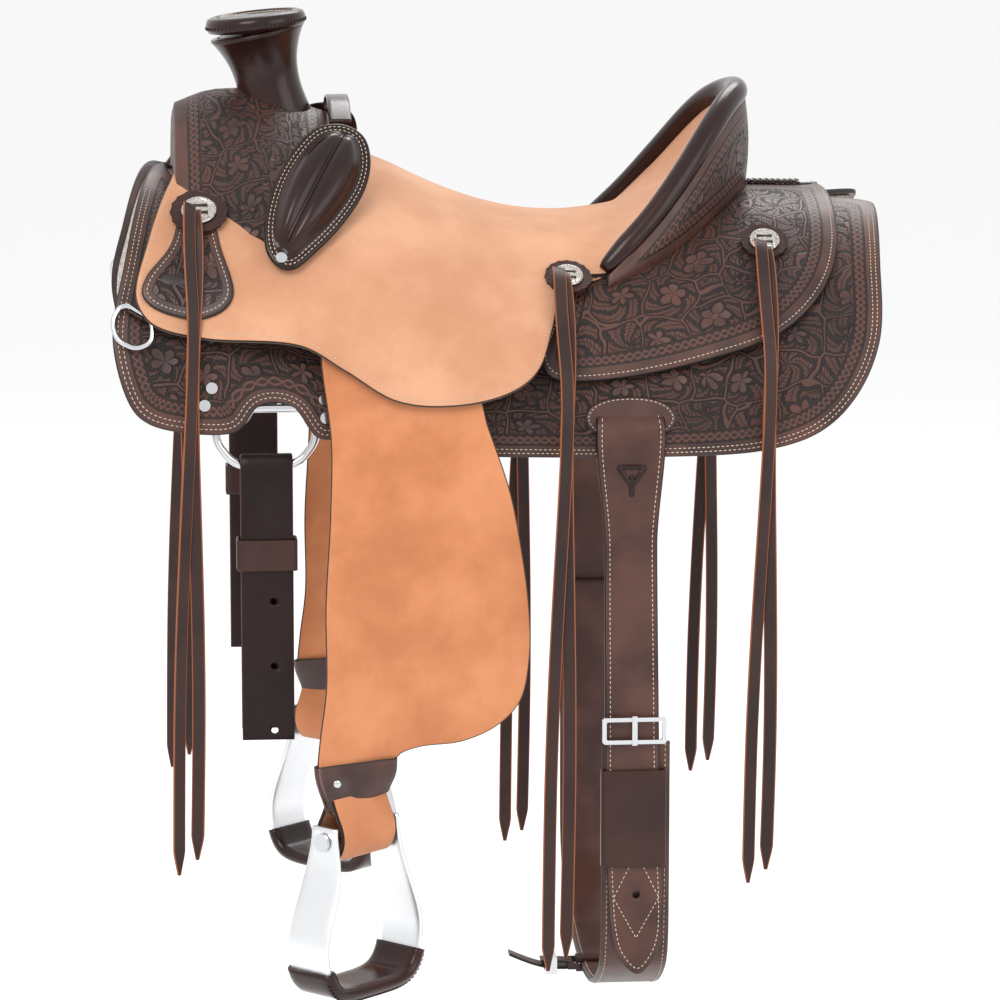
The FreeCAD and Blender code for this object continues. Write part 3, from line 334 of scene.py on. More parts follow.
@dataclass
class Sheet:
    """Piece of leather cut to a flat outline and shaped over a form.

    Attributes:
        name: Piece name.
        outline: Flat pattern points, a smooth closed curve goes through them.
        place: Where a flat point lies once shaped, at a lift off the form.
        thickness: Leather thickness.
        rings: Distances from the edge at which the surface is divided along the outline.
        relief: Height table by distance from the edge.
        grid: Size of the faces inside.
        base: Lift of the flesh side off the form.
        step: Length of the divisions along the outline.
        bulge: Extra lift at a flat point, for crowned pieces.
    """

    name: str
    outline: Sequence[Flat]
    place: Place
    thickness: float = 0.004
    rings: Sequence[float] = (0.0007, 0.0018, 0.0040)
    relief: Table = ((0.0, -0.0014), (0.0007, -0.0005), (0.0018, 0.0))
    grid: float = 0.007
    base: float = 0.0003
    step: float = 0.0045
    bulge: Optional[Callable[[float, float, float], float]] = None
    loop: np.ndarray = field(init=False, repr=False)

    def __post_init__(self) -> None:
        """Draw the outline once."""
        self.loop = np.array(closed_curve(self.outline, self.step))

    def lift(self, u: float, v: float, edge: float) -> float:
        """Height of the grain side over the form at a flat point."""
        height = self.base + self.thickness + lerp(self.relief, min(edge, self.relief[-1][0]))
        return height + (self.bulge(u, v, edge) if self.bulge else 0.0)

    def mesh(self) -> bmesh.types.BMesh:
        """Closed leather piece: cut, divided, laid over the form and given its thickness."""
        bm = bmesh.new()
        face = bm.faces.new([bm.verts.new((u, v, 0.0)) for u, v in self.loop])
        bm.normal_update()
        if face.normal.z < 0:
            face.normal_flip()
        before = 0.0
        for ring in self.rings:
            bmesh.ops.inset_region(bm, faces=[face], thickness=ring - before, use_even_offset=True,
                use_boundary=True)
            before = ring
        low, high = self.loop.min(axis=0), self.loop.max(axis=0)
        geom: list = [face, *face.edges, *face.verts]
        for axis in (0, 1):
            way = Vector((1, 0, 0)) if axis == 0 else Vector((0, 1, 0))
            lines = max(1, int((high[axis] - low[axis]) / self.grid))
            for k in range(1, lines):
                at = low[axis] + (high[axis] - low[axis]) * k / lines
                cut = bmesh.ops.bisect_plane(bm, geom=geom, dist=1e-7, plane_co=way * at, plane_no=way)
                geom = cut["geom"]
        self.shape(bm)
        return bm

    def shape(self, bm: bmesh.types.BMesh) -> None:
        """Lay the flat piece over its form, with maps of the flat pattern and of the edge."""
        verts = list(bm.verts)
        flat = np.array([(v.co.x, v.co.y) for v in verts])
        edge, run, total = edge_measure(flat, self.loop)
        bm.verts.index_update()
        pattern, border = bm.loops.layers.uv.new("flat"), bm.loops.layers.uv.new("edge")
        for face in bm.faces:
            first = run[face.verts[0].index]
            for corner in face.loops:
                k = corner.vert.index
                along = run[k]
                if along - first > total / 2:
                    along -= total
                elif first - along > total / 2:
                    along += total
                corner[pattern].uv = flat[k]
                corner[border].uv = (along, edge[k])
        tops = [self.place(u, v, self.lift(u, v, e)) for (u, v), e in zip(flat, edge)]
        lows = [self.place(u, v, self.base) for (u, v) in flat]
        for vert, top in zip(verts, tops):
            vert.co = top
        bm.normal_update()
        sample = max(bm.faces, key=lambda f: f.calc_area())
        k = sample.verts[0].index
        if sample.normal.dot(tops[k] - lows[k]) < 0:
            bmesh.ops.reverse_faces(bm, faces=bm.faces)
        thicken(bm, {vert: low for vert, low in zip(verts, lows)})

    def build(self, material: bpy.types.Material) -> bpy.types.Object:
        """Finished piece."""
        return to_object(self.name, self.mesh(), material)

    def inside(self, distance: float, step: float) -> list[Flat]:
        """Line that keeps a distance inside the outline, in even steps."""
        ahead, behind = np.roll(self.loop, -1, axis=0), np.roll(self.loop, 1, axis=0)
        way = ahead - behind
        way /= np.linalg.norm(way, axis=1)[:, None]
        area = float(np.sum(self.loop[:, 0] * ahead[:, 1] - ahead[:, 0] * self.loop[:, 1]))
        turn = 1.0 if area > 0 else -1.0
        line = self.loop + np.stack([-way[:, 1], way[:, 0]], axis=1) * distance * turn
        edge, _, _ = edge_measure(line, self.loop)
        return even_steps([Vector(p) for p, gap in zip(line, edge) if gap > distance * 0.97],
            step, closed=True)

    def seam(self, distance: float, pitch: float, keep: Callable[[float, float], bool] = lambda u,
            v: True) -> list[tuple[Vector, Vector, Vector]]:
        """Stitch places along a line inside the outline.

        Args:
            distance: Distance of the seam from the edge.
            pitch: Distance from one stitch to the next.
            keep: Whether a stitch is sewn at a flat point.

        Returns:
            Start, end and outward direction of every stitch.
        """
        line = self.inside(distance, pitch)
        places = []
        for k, here in enumerate(line):
            there = line[(k + 1) % len(line)]
            if not keep(*here) or (Vector(there) - Vector(here)).length > pitch * 1.8:
                continue
            lift = self.lift(here[0], here[1], distance)
            a, b = self.place(*here, lift), self.place(*there, lift)
            out = (self.place(*here, lift + 0.001) - a).normalized()
            places.append((a, b, out))
        return places


def stitches(name: str, places: Sequence[tuple[Vector, Vector, Vector]], material: bpy.types.Material,
        thread: float = 0.00055, fill: float = 0.74) -> bpy.types.Object:
    """Row of thread stitches, each a small rounded grain lying on the leather.

    Args:
        name: Piece name.
        places: Start, end and outward direction of every stitch.
        material: Thread finish.
        thread: Thread radius.
        fill: Share of each step that its stitch covers.

    Returns:
        One object with every stitch.
    """
    whole = bmesh.new()
    batch = 120
    for first in range(0, len(places), batch):
        part = bmesh.new()
        for a, b, out in places[first:first + batch]:
            along = b - a
            length = along.length * fill / 2
            across = out.cross(along).normalized()
            middle = a.lerp(b, 0.5) + out * thread * 0.35
            basis = Matrix((along.normalized() * length, across * thread, out * thread)).transposed().to_4x4()
            bmesh.ops.create_icosphere(part, subdivisions=1, radius=1.0, matrix=Matrix.Translation(middle)
                @ basis)
        scrap = bpy.data.meshes.new("stitches")
        part.to_mesh(scrap)
        part.free()
        whole.from_mesh(scrap)
        bpy.data.meshes.remove(scrap)
    return to_object(name, whole, material)


def frames_along(line: Sequence[Vector], up: Vector) -> list[Matrix]:
    """Frame at every point of a line: x across, y up and z along it, without twist."""
    frames = []
    for k, here in enumerate(line):
        ahead, behind = line[min(k + 1, len(line) - 1)], line[max(k - 1, 0)]
        along = (ahead - behind).normalized()
        across = up.cross(along)
        if across.length < 1e-4:
            across = Vector((1, 0, 0)).cross(along)
        across.normalize()
        up = along.cross(across).normalized()
        frames.append(Matrix.Translation(here) @ Matrix((across, up, along)).transposed().to_4x4())
    return frames


def swept(name: str, line: Sequence[Vector], section: Callable[[float], Sequence[Flat]],
        material: bpy.types.Material, up: Vector = Vector((0, 0, 1)), closed: bool =
        False) -> bpy.types.Object:
    """Section carried along a line, as rings of vertices bridged one to the next.

    Args:
        name: Piece name.
        line: Points of the middle line.
        section: Outline of the section, by its share of the way along.
        material: Finish.
        up: Rough direction of the section's y axis at the start.
        closed: Whether the last ring joins the first.

    Returns:
        Closed object with the way round and the way along as its "flat" map.
    """
    bm = bmesh.new()
    frames = frames_along(line, up)
    runs = np.concatenate([[0.0], np.cumsum([(b - a).length for a, b in zip(line, line[1:])])])
    rings = []
    for k, at in enumerate(frames):
        share = k / (len(frames) - 1)
        rings.append([bm.verts.new(at @ Vector((x, y, 0))) for x, y in section(share)])
    count = len(rings[0])
    pattern, border = bm.loops.layers.uv.new("flat"), bm.loops.layers.uv.new("edge")
    girth = sum((rings[0][j].co - rings[0][j - 1].co).length for j in range(count))
    pairs = list(zip(rings, rings[1:])) + ([(rings[-1], rings[0])] if closed else [])
    for k, (low, high) in enumerate(pairs):
        widths = [abs(x) for x, _ in section(k / max(1, len(frames) - 1))]
        near, far = runs[k], runs[k + 1] if k + 1 < len(runs) else runs[-1] + (line[0] - line[-1]).length
        for j in range(count):
            face = bm.faces.new((low[j], low[(j + 1) % count], high[(j + 1) % count], high[j]))
            uvs = ((j, near), (j + 1, near), (j + 1, far), (j, far))
            for corner, (step, run) in zip(face.loops, uvs):
                corner[pattern].uv = (girth * step / count, run)
                corner[border].uv = (run, max(widths) - widths[step % count] + 0.0002)
    if not closed:
        bm.faces.new(list(reversed(rings[0])))
        bm.faces.new(rings[-1])
    bmesh.ops.recalc_face_normals(bm, faces=bm.faces)
    return to_object(name, bm, material)


def circle(radius: float, count: int = 20, flatten: float = 1.0) -> list[Flat]:
    """Round or oval section."""
    return [(radius * math.cos(2 * math.pi * k / count), radius * flatten * math.sin(2 * math.pi * k / count))
        for k in range(count)]


def strap_section(width: float, thick: float) -> list[Flat]:
    """Flat strap section with rounded edges."""
    half, tall = width / 2, thick / 2
    nose = tall * 0.9
    points = []
    for cx, cy, start in ((half - nose, tall - nose, 0), (-half + nose, tall - nose, 90),
            (-half + nose, -tall + nose, 180), (half - nose, -tall + nose, 270)):
        for k in range(3):
            angle = math.radians(start + 45 * k)
            points.append((cx + nose * math.cos(angle), cy + nose * math.sin(angle)))
        if start in (0, 180):
            way = 1 if start == 0 else -1
            points += [(way * share * (half - nose), way * tall) for share in (0.7, 0.0, -0.7)]
    return points


def spline(points: Sequence[Sequence[float]], step: float) -> list[Vector]:
    """Smooth line that has the points as its control points, in even steps."""
    curve = bpy.data.curves.new("line", "CURVE")
    curve.dimensions = "3D"
    curve.resolution_u = 24
    path = curve.splines.new("NURBS")
    path.points.add(len(points) - 1)
    for spot, point in zip(path.points, points):
        spot.co = (*point, 1.0)
    path.order_u = 3
    path.use_endpoint_u = True
    holder = bpy.data.objects.new("line", curve)
    mesh = bpy.data.meshes.new_from_object(holder)
    line = [vert.co.copy() for vert in mesh.vertices]
    bpy.data.objects.remove(holder)
    bpy.data.meshes.remove(mesh)
    bpy.data.curves.remove(curve)
    return [Vector(p) for p in even_steps(line, step, closed=False)]


# ---------------------------------------------------------------- finishes
class Net:
    """Node tree of one finish, with short names for the nodes it is built from."""

    def __init__(self, name: str) -> None:
        """Start an empty finish with a Principled surface."""
        self.material = bpy.data.materials.new(name)
        self.material.use_nodes = True
        self.tree = self.material.node_tree
        self.surface = self.tree.nodes["Principled BSDF"]

    def add(self, kind: str, inputs: dict, **props) -> bpy.types.Node:
        """Node of a kind, its inputs set to values or joined to sockets."""
        node = self.tree.nodes.new(kind)
        for key, value in props.items():
            setattr(node, key, value)
        for key, value in inputs.items():
            if isinstance(value, bpy.types.NodeSocket):
                self.tree.links.new(value, node.inputs[key])
            else:
                node.inputs[key].default_value = value
        return node

    def math(self, operation: str, a, b=0.0, c=0.0) -> bpy.types.NodeSocket:
        """Result of a math node."""
        return self.add("ShaderNodeMath", {0: a, 1: b, 2: c}, operation=operation).outputs[0]

    def times(self, a, b) -> bpy.types.NodeSocket:
        """Product of two values."""
        return self.math("MULTIPLY", a, b)

    def ramp(self, value, low: float, high: float, start: float = 0.0, end: float =
            1.0) -> bpy.types.NodeSocket:
        """Value carried smoothly from one range to another and held at its ends."""
        node = self.add("ShaderNodeMapRange", {0: value, 1: low, 2: high, 3: start, 4: end},
            interpolation_type="SMOOTHSTEP")
        return node.outputs[0]

    def mix(self, share, a, b) -> bpy.types.NodeSocket:
        """Colour between two colours."""
        node = self.tree.nodes.new("ShaderNodeMix")
        node.data_type = "RGBA"
        for socket, value in zip((node.inputs[0], node.inputs[6], node.inputs[7]), (share, a, b)):
            if isinstance(value, bpy.types.NodeSocket):
                self.tree.links.new(value, socket)
            else:
                socket.default_value = value
        return node.outputs[2]

    def coords(self, uv: Optional[str] = None) -> bpy.types.NodeSocket:
        """Object coordinates, or one of the piece's own maps."""
        if uv:
            return self.add("ShaderNodeUVMap", {}, uv_map=uv).outputs[0]
        return self.add("ShaderNodeTexCoord", {}).outputs["Object"]

    def noise(self, at, scale: float, detail: float = 3.0, rough: float = 0.55) -> bpy.types.NodeSocket:
        """Noise value."""
        return self.add("ShaderNodeTexNoise", {"Vector": at, "Scale": scale, "Detail": detail,
            "Roughness": rough}).outputs["Fac"]

    def voronoi(self, at, scale: float, feature: str = "F1", output: str = "Distance",
            randomness: float = 1.0) -> bpy.types.NodeSocket:
        """Cell pattern at a scale."""
        return self.add("ShaderNodeTexVoronoi", {"Vector": at, "Scale": scale, "Randomness": randomness},
            feature=feature).outputs[output]

    def bump(self, height, distance: float, strength: float = 1.0) -> None:
        """Join a height to the surface normal."""
        node = self.add("ShaderNodeBump", {"Height": height, "Distance": distance, "Strength": strength})
        self.tree.links.new(node.outputs[0], self.surface.inputs["Normal"])

    def set(self, **values) -> None:
        """Set or join the surface's inputs by name, with _ for a space."""
        for key, value in values.items():
            socket = self.surface.inputs[key.replace("_", " ")]
            if isinstance(value, bpy.types.NodeSocket):
                self.tree.links.new(value, socket)
            else:
                socket.default_value = value


def colour(red: int, green: int, blue: int) -> tuple[float, float, float, float]:
    """Linear colour of a display colour."""
    return tuple(((c / 255 + 0.055) / 1.055) ** 2.4 if c > 10 else c / 3294.6 for c in
        (red, green, blue)) + (1.0,)


class Pattern(Enum):
    """What is worked into a leather's grain."""

    PLAIN = 0
    FLORAL = 1


@dataclass(frozen=True)
class Leather:
    """Vegetable-tanned leather with its colour, shine and tooling."""

    name: str
    body: tuple
    deep: tuple
    high: tuple
    roughness: float = 0.42
    pattern: Pattern = Pattern.PLAIN
    border: bool = False
    inset: float = 0.0150
    chain: float = 0.0120
    link: float = 0.0160
    edge_map: bool = True
    edge: tuple = colour(16, 12, 11)
    coat: float = 0.12
    specular: float = 0.32

    def flower_field(self, net: Net, flat) -> bpy.types.NodeSocket:
        """Height of carved flowers and scrolled leaves, from 0 in the ground to 1."""
        drift = net.add("ShaderNodeTexNoise", {"Vector": flat, "Scale": 26.0, "Detail": 1.0}).outputs["Color"]
        spread = net.add("ShaderNodeVectorMath", {0: drift, 1: (0.5, 0.5, 0.5)},
            operation="SUBTRACT").outputs[0]
        small = net.add("ShaderNodeVectorMath", {0: spread, "Scale": 0.020}, operation="SCALE").outputs[0]
        at = net.add("ShaderNodeVectorMath", {0: flat, 1: small}, operation="ADD").outputs[0]
        cell = net.add("ShaderNodeTexVoronoi", {"Vector": at, "Scale": 23.0, "Randomness": 0.55},
            feature="F1")
        centre = cell.outputs["Position"]
        arm = net.add("ShaderNodeVectorMath", {0: at, 1: centre}, operation="SUBTRACT").outputs[0]
        parts = net.add("ShaderNodeSeparateXYZ", {0: arm})
        turn = net.math("ARCTAN2", parts.outputs[1], parts.outputs[0])
        reach = net.add("ShaderNodeVectorMath", {0: arm}, operation="LENGTH").outputs["Value"]
        lobes = net.math("ABSOLUTE", net.math("COSINE", net.times(turn, 2.5)))
        rim = net.math("MULTIPLY_ADD", lobes, 0.0060, 0.0095)
        inside = net.math("SUBTRACT", rim, reach)
        petal = net.ramp(inside, -0.0004, 0.0014)
        cup = net.times(petal, net.ramp(reach, 0.003, 0.018, 0.35, 1.0))
        seam = net.ramp(lobes, 0.0, 0.30, 0.25, 1.0)
        button = net.ramp(reach, 0.0044, 0.0034)
        flower = net.math("MAXIMUM", net.times(cup, seam), button)
        swirl = net.math("MULTIPLY_ADD", turn, 3.5, net.times(reach, 190.0))
        vane = net.math("ABSOLUTE", net.math("SINE", swirl))
        scallop = net.times(net.math("SINE", net.times(reach, 1900.0)), 0.10)
        pad = net.ramp(net.math("ADD", vane, scallop), 0.34, 0.52)
        rib = net.ramp(vane, 0.985, 0.9985, 1.0, 0.25)
        veins = net.math("ABSOLUTE", net.math("SINE", net.math("MULTIPLY_ADD", reach, 1500.0, vane)))
        leaf = net.times(net.times(pad, rib), net.ramp(veins, 0.0, 0.45, 0.45, 0.85))
        border = net.voronoi(at, 23.0, "DISTANCE_TO_EDGE", randomness=0.55)
        stem = net.ramp(border, 0.030, 0.018)
        inner = net.ramp(border, 0.042, 0.060)
        keep = net.times(inner, net.ramp(inside, -0.0022, -0.0032))
        return net.math("MAXIMUM", net.math("MAXIMUM", flower, net.times(stem, 0.9)),
            net.times(leaf, keep))

    def make(self) -> bpy.types.Material:
        """Material of this leather."""
        net = Net(self.name)
        at = net.coords()
        flat = net.coords("flat")
        pores = net.voronoi(at, 900.0)
        grain = net.math("MULTIPLY_ADD", pores, 0.5, net.noise(at, 260.0, 4.0))
        cloud = net.noise(at, 14.0, 3.0)
        worn = net.noise(at, 60.0, 4.0)
        base = net.mix(net.ramp(cloud, 0.35, 0.68), self.body, self.high)
        height = net.times(grain, 0.00012)
        shine = net.math("MULTIPLY_ADD", worn, 0.16, self.roughness - 0.08)
        if self.edge_map:
            edge = net.add("ShaderNodeSeparateXYZ", {0: net.coords("edge")})
            along, gap = edge.outputs[0], edge.outputs[1]
        if self.pattern is Pattern.FLORAL:
            field_height = self.flower_field(net, flat)
            tooled = net.ramp(gap, self.inset + self.chain + 0.0005, self.inset + self.chain + 0.0015)
            stipple = net.voronoi(flat, 750.0)
            ground = net.ramp(field_height, 0.22, 0.04)
            relief = net.times(net.math("SUBTRACT", field_height, net.times(ground,
                              net.times(stipple, 0.35))), net.times(tooled, 0.0022))
            height = net.math("ADD", height, relief)
            dark = net.times(net.ramp(field_height, 0.42, 0.02),
                net.times(tooled, 0.90))
            base = net.mix(dark, base, self.deep)
            lit = net.times(net.ramp(field_height, 0.62, 0.98), net.times(tooled, 0.55))
            base = net.mix(lit, base, self.high)
            shine = net.math("MULTIPLY_ADD", dark, 0.22, shine)
        if self.border:
            middle = self.inset + self.chain / 2
            swing = net.times(net.math("SINE", net.times(along,
                2 * math.pi / self.link)), 0.0034)
            strands = []
            for way in (1.0, -1.0):
                off = net.math("SUBTRACT", gap, net.math("MULTIPLY_ADD", swing, way, middle))
                strands.append(net.ramp(net.math("ABSOLUTE", off), 0.0023, 0.0014))
            rope = net.math("MAXIMUM", *strands)
            rails = []
            for rail in (self.inset, self.inset + self.chain):
                rails.append(net.ramp(net.math("ABSOLUTE", net.math("SUBTRACT", gap, rail)), 0.0009, 0.0003))
            groove = net.math("MAXIMUM", *rails)
            band = net.times(net.ramp(gap, self.inset, self.inset + 0.0008),
                net.ramp(gap, self.inset + self.chain, self.inset + self.chain - 0.0008))
            height = net.math("ADD", height, net.times(net.times(rope, band), 0.0014))
            height = net.math("MULTIPLY_ADD", groove, -0.0008, height)
            low = net.times(net.math("SUBTRACT", band, net.times(rope, band)), 0.80)
            base = net.mix(net.math("MAXIMUM", low, net.times(groove, 0.85)), base, self.deep)
            base = net.mix(net.times(net.times(rope, band), 0.75), base, self.high)
        if self.edge_map:
            base = net.mix(net.ramp(gap, 0.0016, 0.0008), base, self.edge)
        net.set(Base_Color=base, Roughness=shine, Coat_Weight=self.coat, Coat_Roughness=0.22,
            IOR=1.5, Specular_IOR_Level=self.specular)
        net.bump(height, 1.0)
        return net.material


@dataclass(frozen=True)
class Suede:
    """Napped leather, soft and matt, with darker rubbed places."""

    name: str
    body: tuple
    shade: tuple
    edge: tuple = colour(30, 24, 22)
    edge_width: float = 0.0014

    def make(self) -> bpy.types.Material:
        """Material of this suede."""
        net = Net(self.name)
        at = net.coords()
        nap = net.noise(at, 900.0, 5.0, 0.7)
        brushed = net.noise(net.add("ShaderNodeMapping", {"Vector": at, "Scale":
            (1.0, 1.0, 0.35)}).outputs[0], 90.0, 4.0)
        cloud = net.noise(at, 11.0, 4.0, 0.6)
        base = net.mix(net.ramp(cloud, 0.30, 0.72), self.shade, self.body)
        base = net.mix(net.times(net.ramp(brushed, 0.50, 0.85), 0.35), base, self.shade)
        base = net.mix(net.times(net.ramp(nap, 0.55, 0.8), 0.22), base, self.shade)
        gap = net.add("ShaderNodeSeparateXYZ", {0: net.coords("edge")}).outputs[1]
        base = net.mix(net.ramp(gap, self.edge_width, self.edge_width * 0.5), base, self.edge)
        net.set(Base_Color=base, Roughness=0.92, Sheen_Weight=0.35, Sheen_Roughness=0.5,
            Sheen_Tint=colour(255, 236, 214), Specular_IOR_Level=0.15)
        net.bump(net.math("MULTIPLY_ADD", nap, 0.00022, net.times(brushed, 0.0002)), 1.0)
        return net.material


@dataclass(frozen=True)
class Metal:
    """Metal with its colour, polish and brushing."""

    name: str
    body: tuple
    roughness: float = 0.14
    brushed: float = 0.0
    engraved: bool = False

    def make(self) -> bpy.types.Material:
        """Material of this metal."""
        net = Net(self.name)
        at = net.coords()
        smear = net.noise(at, 35.0, 4.0)
        tilt = net.add("ShaderNodeMapping", {"Vector": at, "Scale": (60.0, 60.0, 2.5)}).outputs[0]
        streak = net.noise(tilt, 22.0, 3.0)
        rough = net.math("MULTIPLY_ADD", smear, 0.12, self.roughness - 0.04)
        rough = net.math("MULTIPLY_ADD", streak, self.brushed * 0.25, rough)
        height = net.times(streak, self.brushed * 0.00006)
        base = net.mix(net.times(streak, self.brushed * 0.4), self.body, colour(150, 150, 154))
        if self.engraved:
            cut = net.math("ABSOLUTE", net.math("SINE", net.times(net.noise(at, 120.0, 1.0),
                40.0)))
            height = net.math("MULTIPLY_ADD", net.ramp(cut, 0.0, 0.4), 0.00025, height)
            base = net.mix(net.ramp(cut, 0.35, 0.05), base, colour(60, 58, 56))
        net.set(Base_Color=base, Metallic=1.0, Roughness=rough)
        net.bump(height, 1.0)
        return net.material


@dataclass(frozen=True)
class Soft:
    """Simple dull finish with a fine texture: thread, fleece, wood."""

    name: str
    body: tuple
    shade: tuple
    scale: float = 300.0
    depth: float = 0.0004
    roughness: float = 0.9
    sheen: float = 0.0

    def make(self) -> bpy.types.Material:
        """Material of this finish."""
        net = Net(self.name)
        at = net.coords()
        fuzz = net.noise(at, self.scale, 5.0, 0.65)
        base = net.mix(net.ramp(fuzz, 0.35, 0.7), self.shade, self.body)
        net.set(Base_Color=base, Roughness=self.roughness, Sheen_Weight=self.sheen, Sheen_Roughness=0.6)
        net.bump(net.times(fuzz, self.depth), 1.0)
        return net.material


DARK = dict(body=colour(52, 29, 24), deep=colour(9, 5, 5), high=colour(84, 50, 40), specular=0.42)
GLOSS = dict(body=colour(32, 14, 12), deep=colour(10, 6, 6), high=colour(46, 21, 17), roughness=0.20,
    coat=0.25, specular=0.2)
BILLET = dict(body=colour(58, 33, 27), deep=colour(18, 11, 9), high=colour(84, 52, 44))
FINISHES = {
    "tooled": Leather("tooled leather", **DARK, pattern=Pattern.FLORAL, border=True),
    "tooled_small": Leather("small tooled leather", **DARK, pattern=Pattern.FLORAL, inset=-0.003),
    "plain_dark": Leather("dark leather", **DARK),
    "dark_loose": Leather("dark strap leather", body=colour(46, 25, 22), deep=colour(10, 6, 6),
                          high=colour(58, 33, 28), specular=0.25, edge_map=False),
    "gloss": Leather("glossy leather", **GLOSS, edge_map=False),
    "gloss_edge": Leather("glossy cut leather", **GLOSS),
    "latigo": Leather("latigo leather", body=colour(30, 19, 18), deep=colour(12, 8, 7),
                      high=colour(38, 25, 23), specular=0.18, roughness=0.36, coat=0.0,
                      edge=colour(62, 28, 22)),
    # near-black finish used only to fill slot openings: painted shade for the dark inside of the latigo
    # holder's slot and of the concho slots
    "black": Leather("black leather", body=colour(30, 25, 25), deep=colour(8, 8, 8),
                     high=colour(44, 36, 34), roughness=0.4, edge_map=False),
    "billet": Leather("billet leather", **BILLET),
    "billet_loose": Leather("cinch leather", **BILLET),
    "string": Leather("string leather", body=colour(40, 24, 21), deep=colour(16, 9, 8),
                      high=colour(54, 33, 28), coat=0.0, roughness=0.5, edge=colour(150, 84, 48)),
    "seat": Suede("seat suede", body=colour(208, 156, 124), shade=colour(190, 136, 104)),
    "fender": Suede("fender suede", body=colour(206, 138, 97), shade=colour(182, 114, 76)),
    "steel": Metal("polished steel", colour(206, 207, 210), 0.10),
    "aluminium": Metal("brushed aluminium", colour(240, 242, 244), 0.30, brushed=0.4),
    "silver": Metal("engraved silver", colour(214, 208, 198), 0.20, engraved=True),
    "thread": Soft("waxed thread", colour(226, 216, 196), colour(178, 162, 138), 1500.0, 0.0001, 0.7),
    "dark_thread": Soft("dark thread", colour(60, 44, 36), colour(34, 24, 20), 1500.0, 0.0001, 0.7),
    "fleece": Soft("wool fleece", colour(226, 220, 208), colour(158, 150, 138), 420.0, 0.0030, 1.0, 0.5),
    "wood": Soft("tree wood", colour(186, 148, 102), colour(140, 104, 66), 60.0, 0.0002, 0.7),
}
MADE: dict[str, bpy.types.Material] = {}


def finish(name: str) -> bpy.types.Material:
    """Material of a finish, made once."""
    if name not in MADE:
        MADE[name] = FINISHES[name].make()
    return MADE[name]


def dress(piece: bpy.types.Object, body: str, slot_name: str, *nodes: str) -> bpy.types.Object:
    """Ride a finished piece on its body in place of its CAD nodes and log it."""
    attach(piece, body)
    if nodes:
        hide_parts(*nodes)
    log.info("%s: %d faces on %s", piece.name, len(piece.data.polygons) if piece.type == "MESH" else 0, body)
    return piece


def dress_both(piece: bpy.types.Object, slot_name: str, *nodes: str, body: str = "",
        twin_name: str = "") -> bpy.types.Object:
    """Dress a near piece and its mirror image.

    Args:
        piece: Near piece.
        slot_name: Slot of both; not used.
        nodes: CAD nodes that they stand for, without the side's ending.
        body: Body without the side's ending; the tree if empty.
        twin_name: Name of the off piece, if it isn't the near one's with "off" in it.

    Returns:
        The off piece.
    """
    twin = other_side(piece, twin_name or piece.name.replace("near", "off"))
    for made, side in ((piece, Side.NEAR), (twin, Side.OFF)):
        dress(made, body + "_" + side.tag if body else "tree", slot_name,
            *(n + "_" + side.tag for n in nodes))
    return twin


def carry(node: str, finish_name: str) -> None:
    """Give a carried CAD piece its finish."""
    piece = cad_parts[node]
    piece.data.materials.clear()
    piece.data.materials.append(finish(finish_name))
    if "flat" not in piece.data.uv_layers:
        piece.data.uv_layers.new(name="flat")


# ---------------------------------------------------------------- skirts, jockeys and seat
def z_outline(rows: Sequence[tuple[int, int]]) -> list[Flat]:
    """Side-view outline given in millimetres."""
    return [(x * MM, z * MM) for x, z in rows]


SKIRT_LINE = z_outline([(-332, 150), (-372, 70), (-384, 0), (-368, -60), (-352, -76),
    (-312, -86), (-272, -86), (-262, -80), (-248, -62), (-230, -58), (-212, -64), (-198, -84),
    (-190, -92), (-140, -93), (-60, -109), (30, -113), (120, -114), (236, -109), (290, -92),
    (325, -60), (350, -10), (358, 60), (364, 108)])
JOCKEY_LINE = z_outline([(60, 64), (34, 10), (22, -22), (32, -38), (60, -42), (180, -24),
    (250, -2), (296, 34), (318, 76), (314, 120)])
SEAT_LINE = z_outline([(-318, 152), (-328, 140), (-350, 90), (-362, 42), (-352, 22), (-338, 13),
    (-296, 4), (-206, -2), (-166, -24), (-118, -52), (-60, -57), (-8, -46), (18, -28),
    (34, 8), (46, 42), (62, 54)])


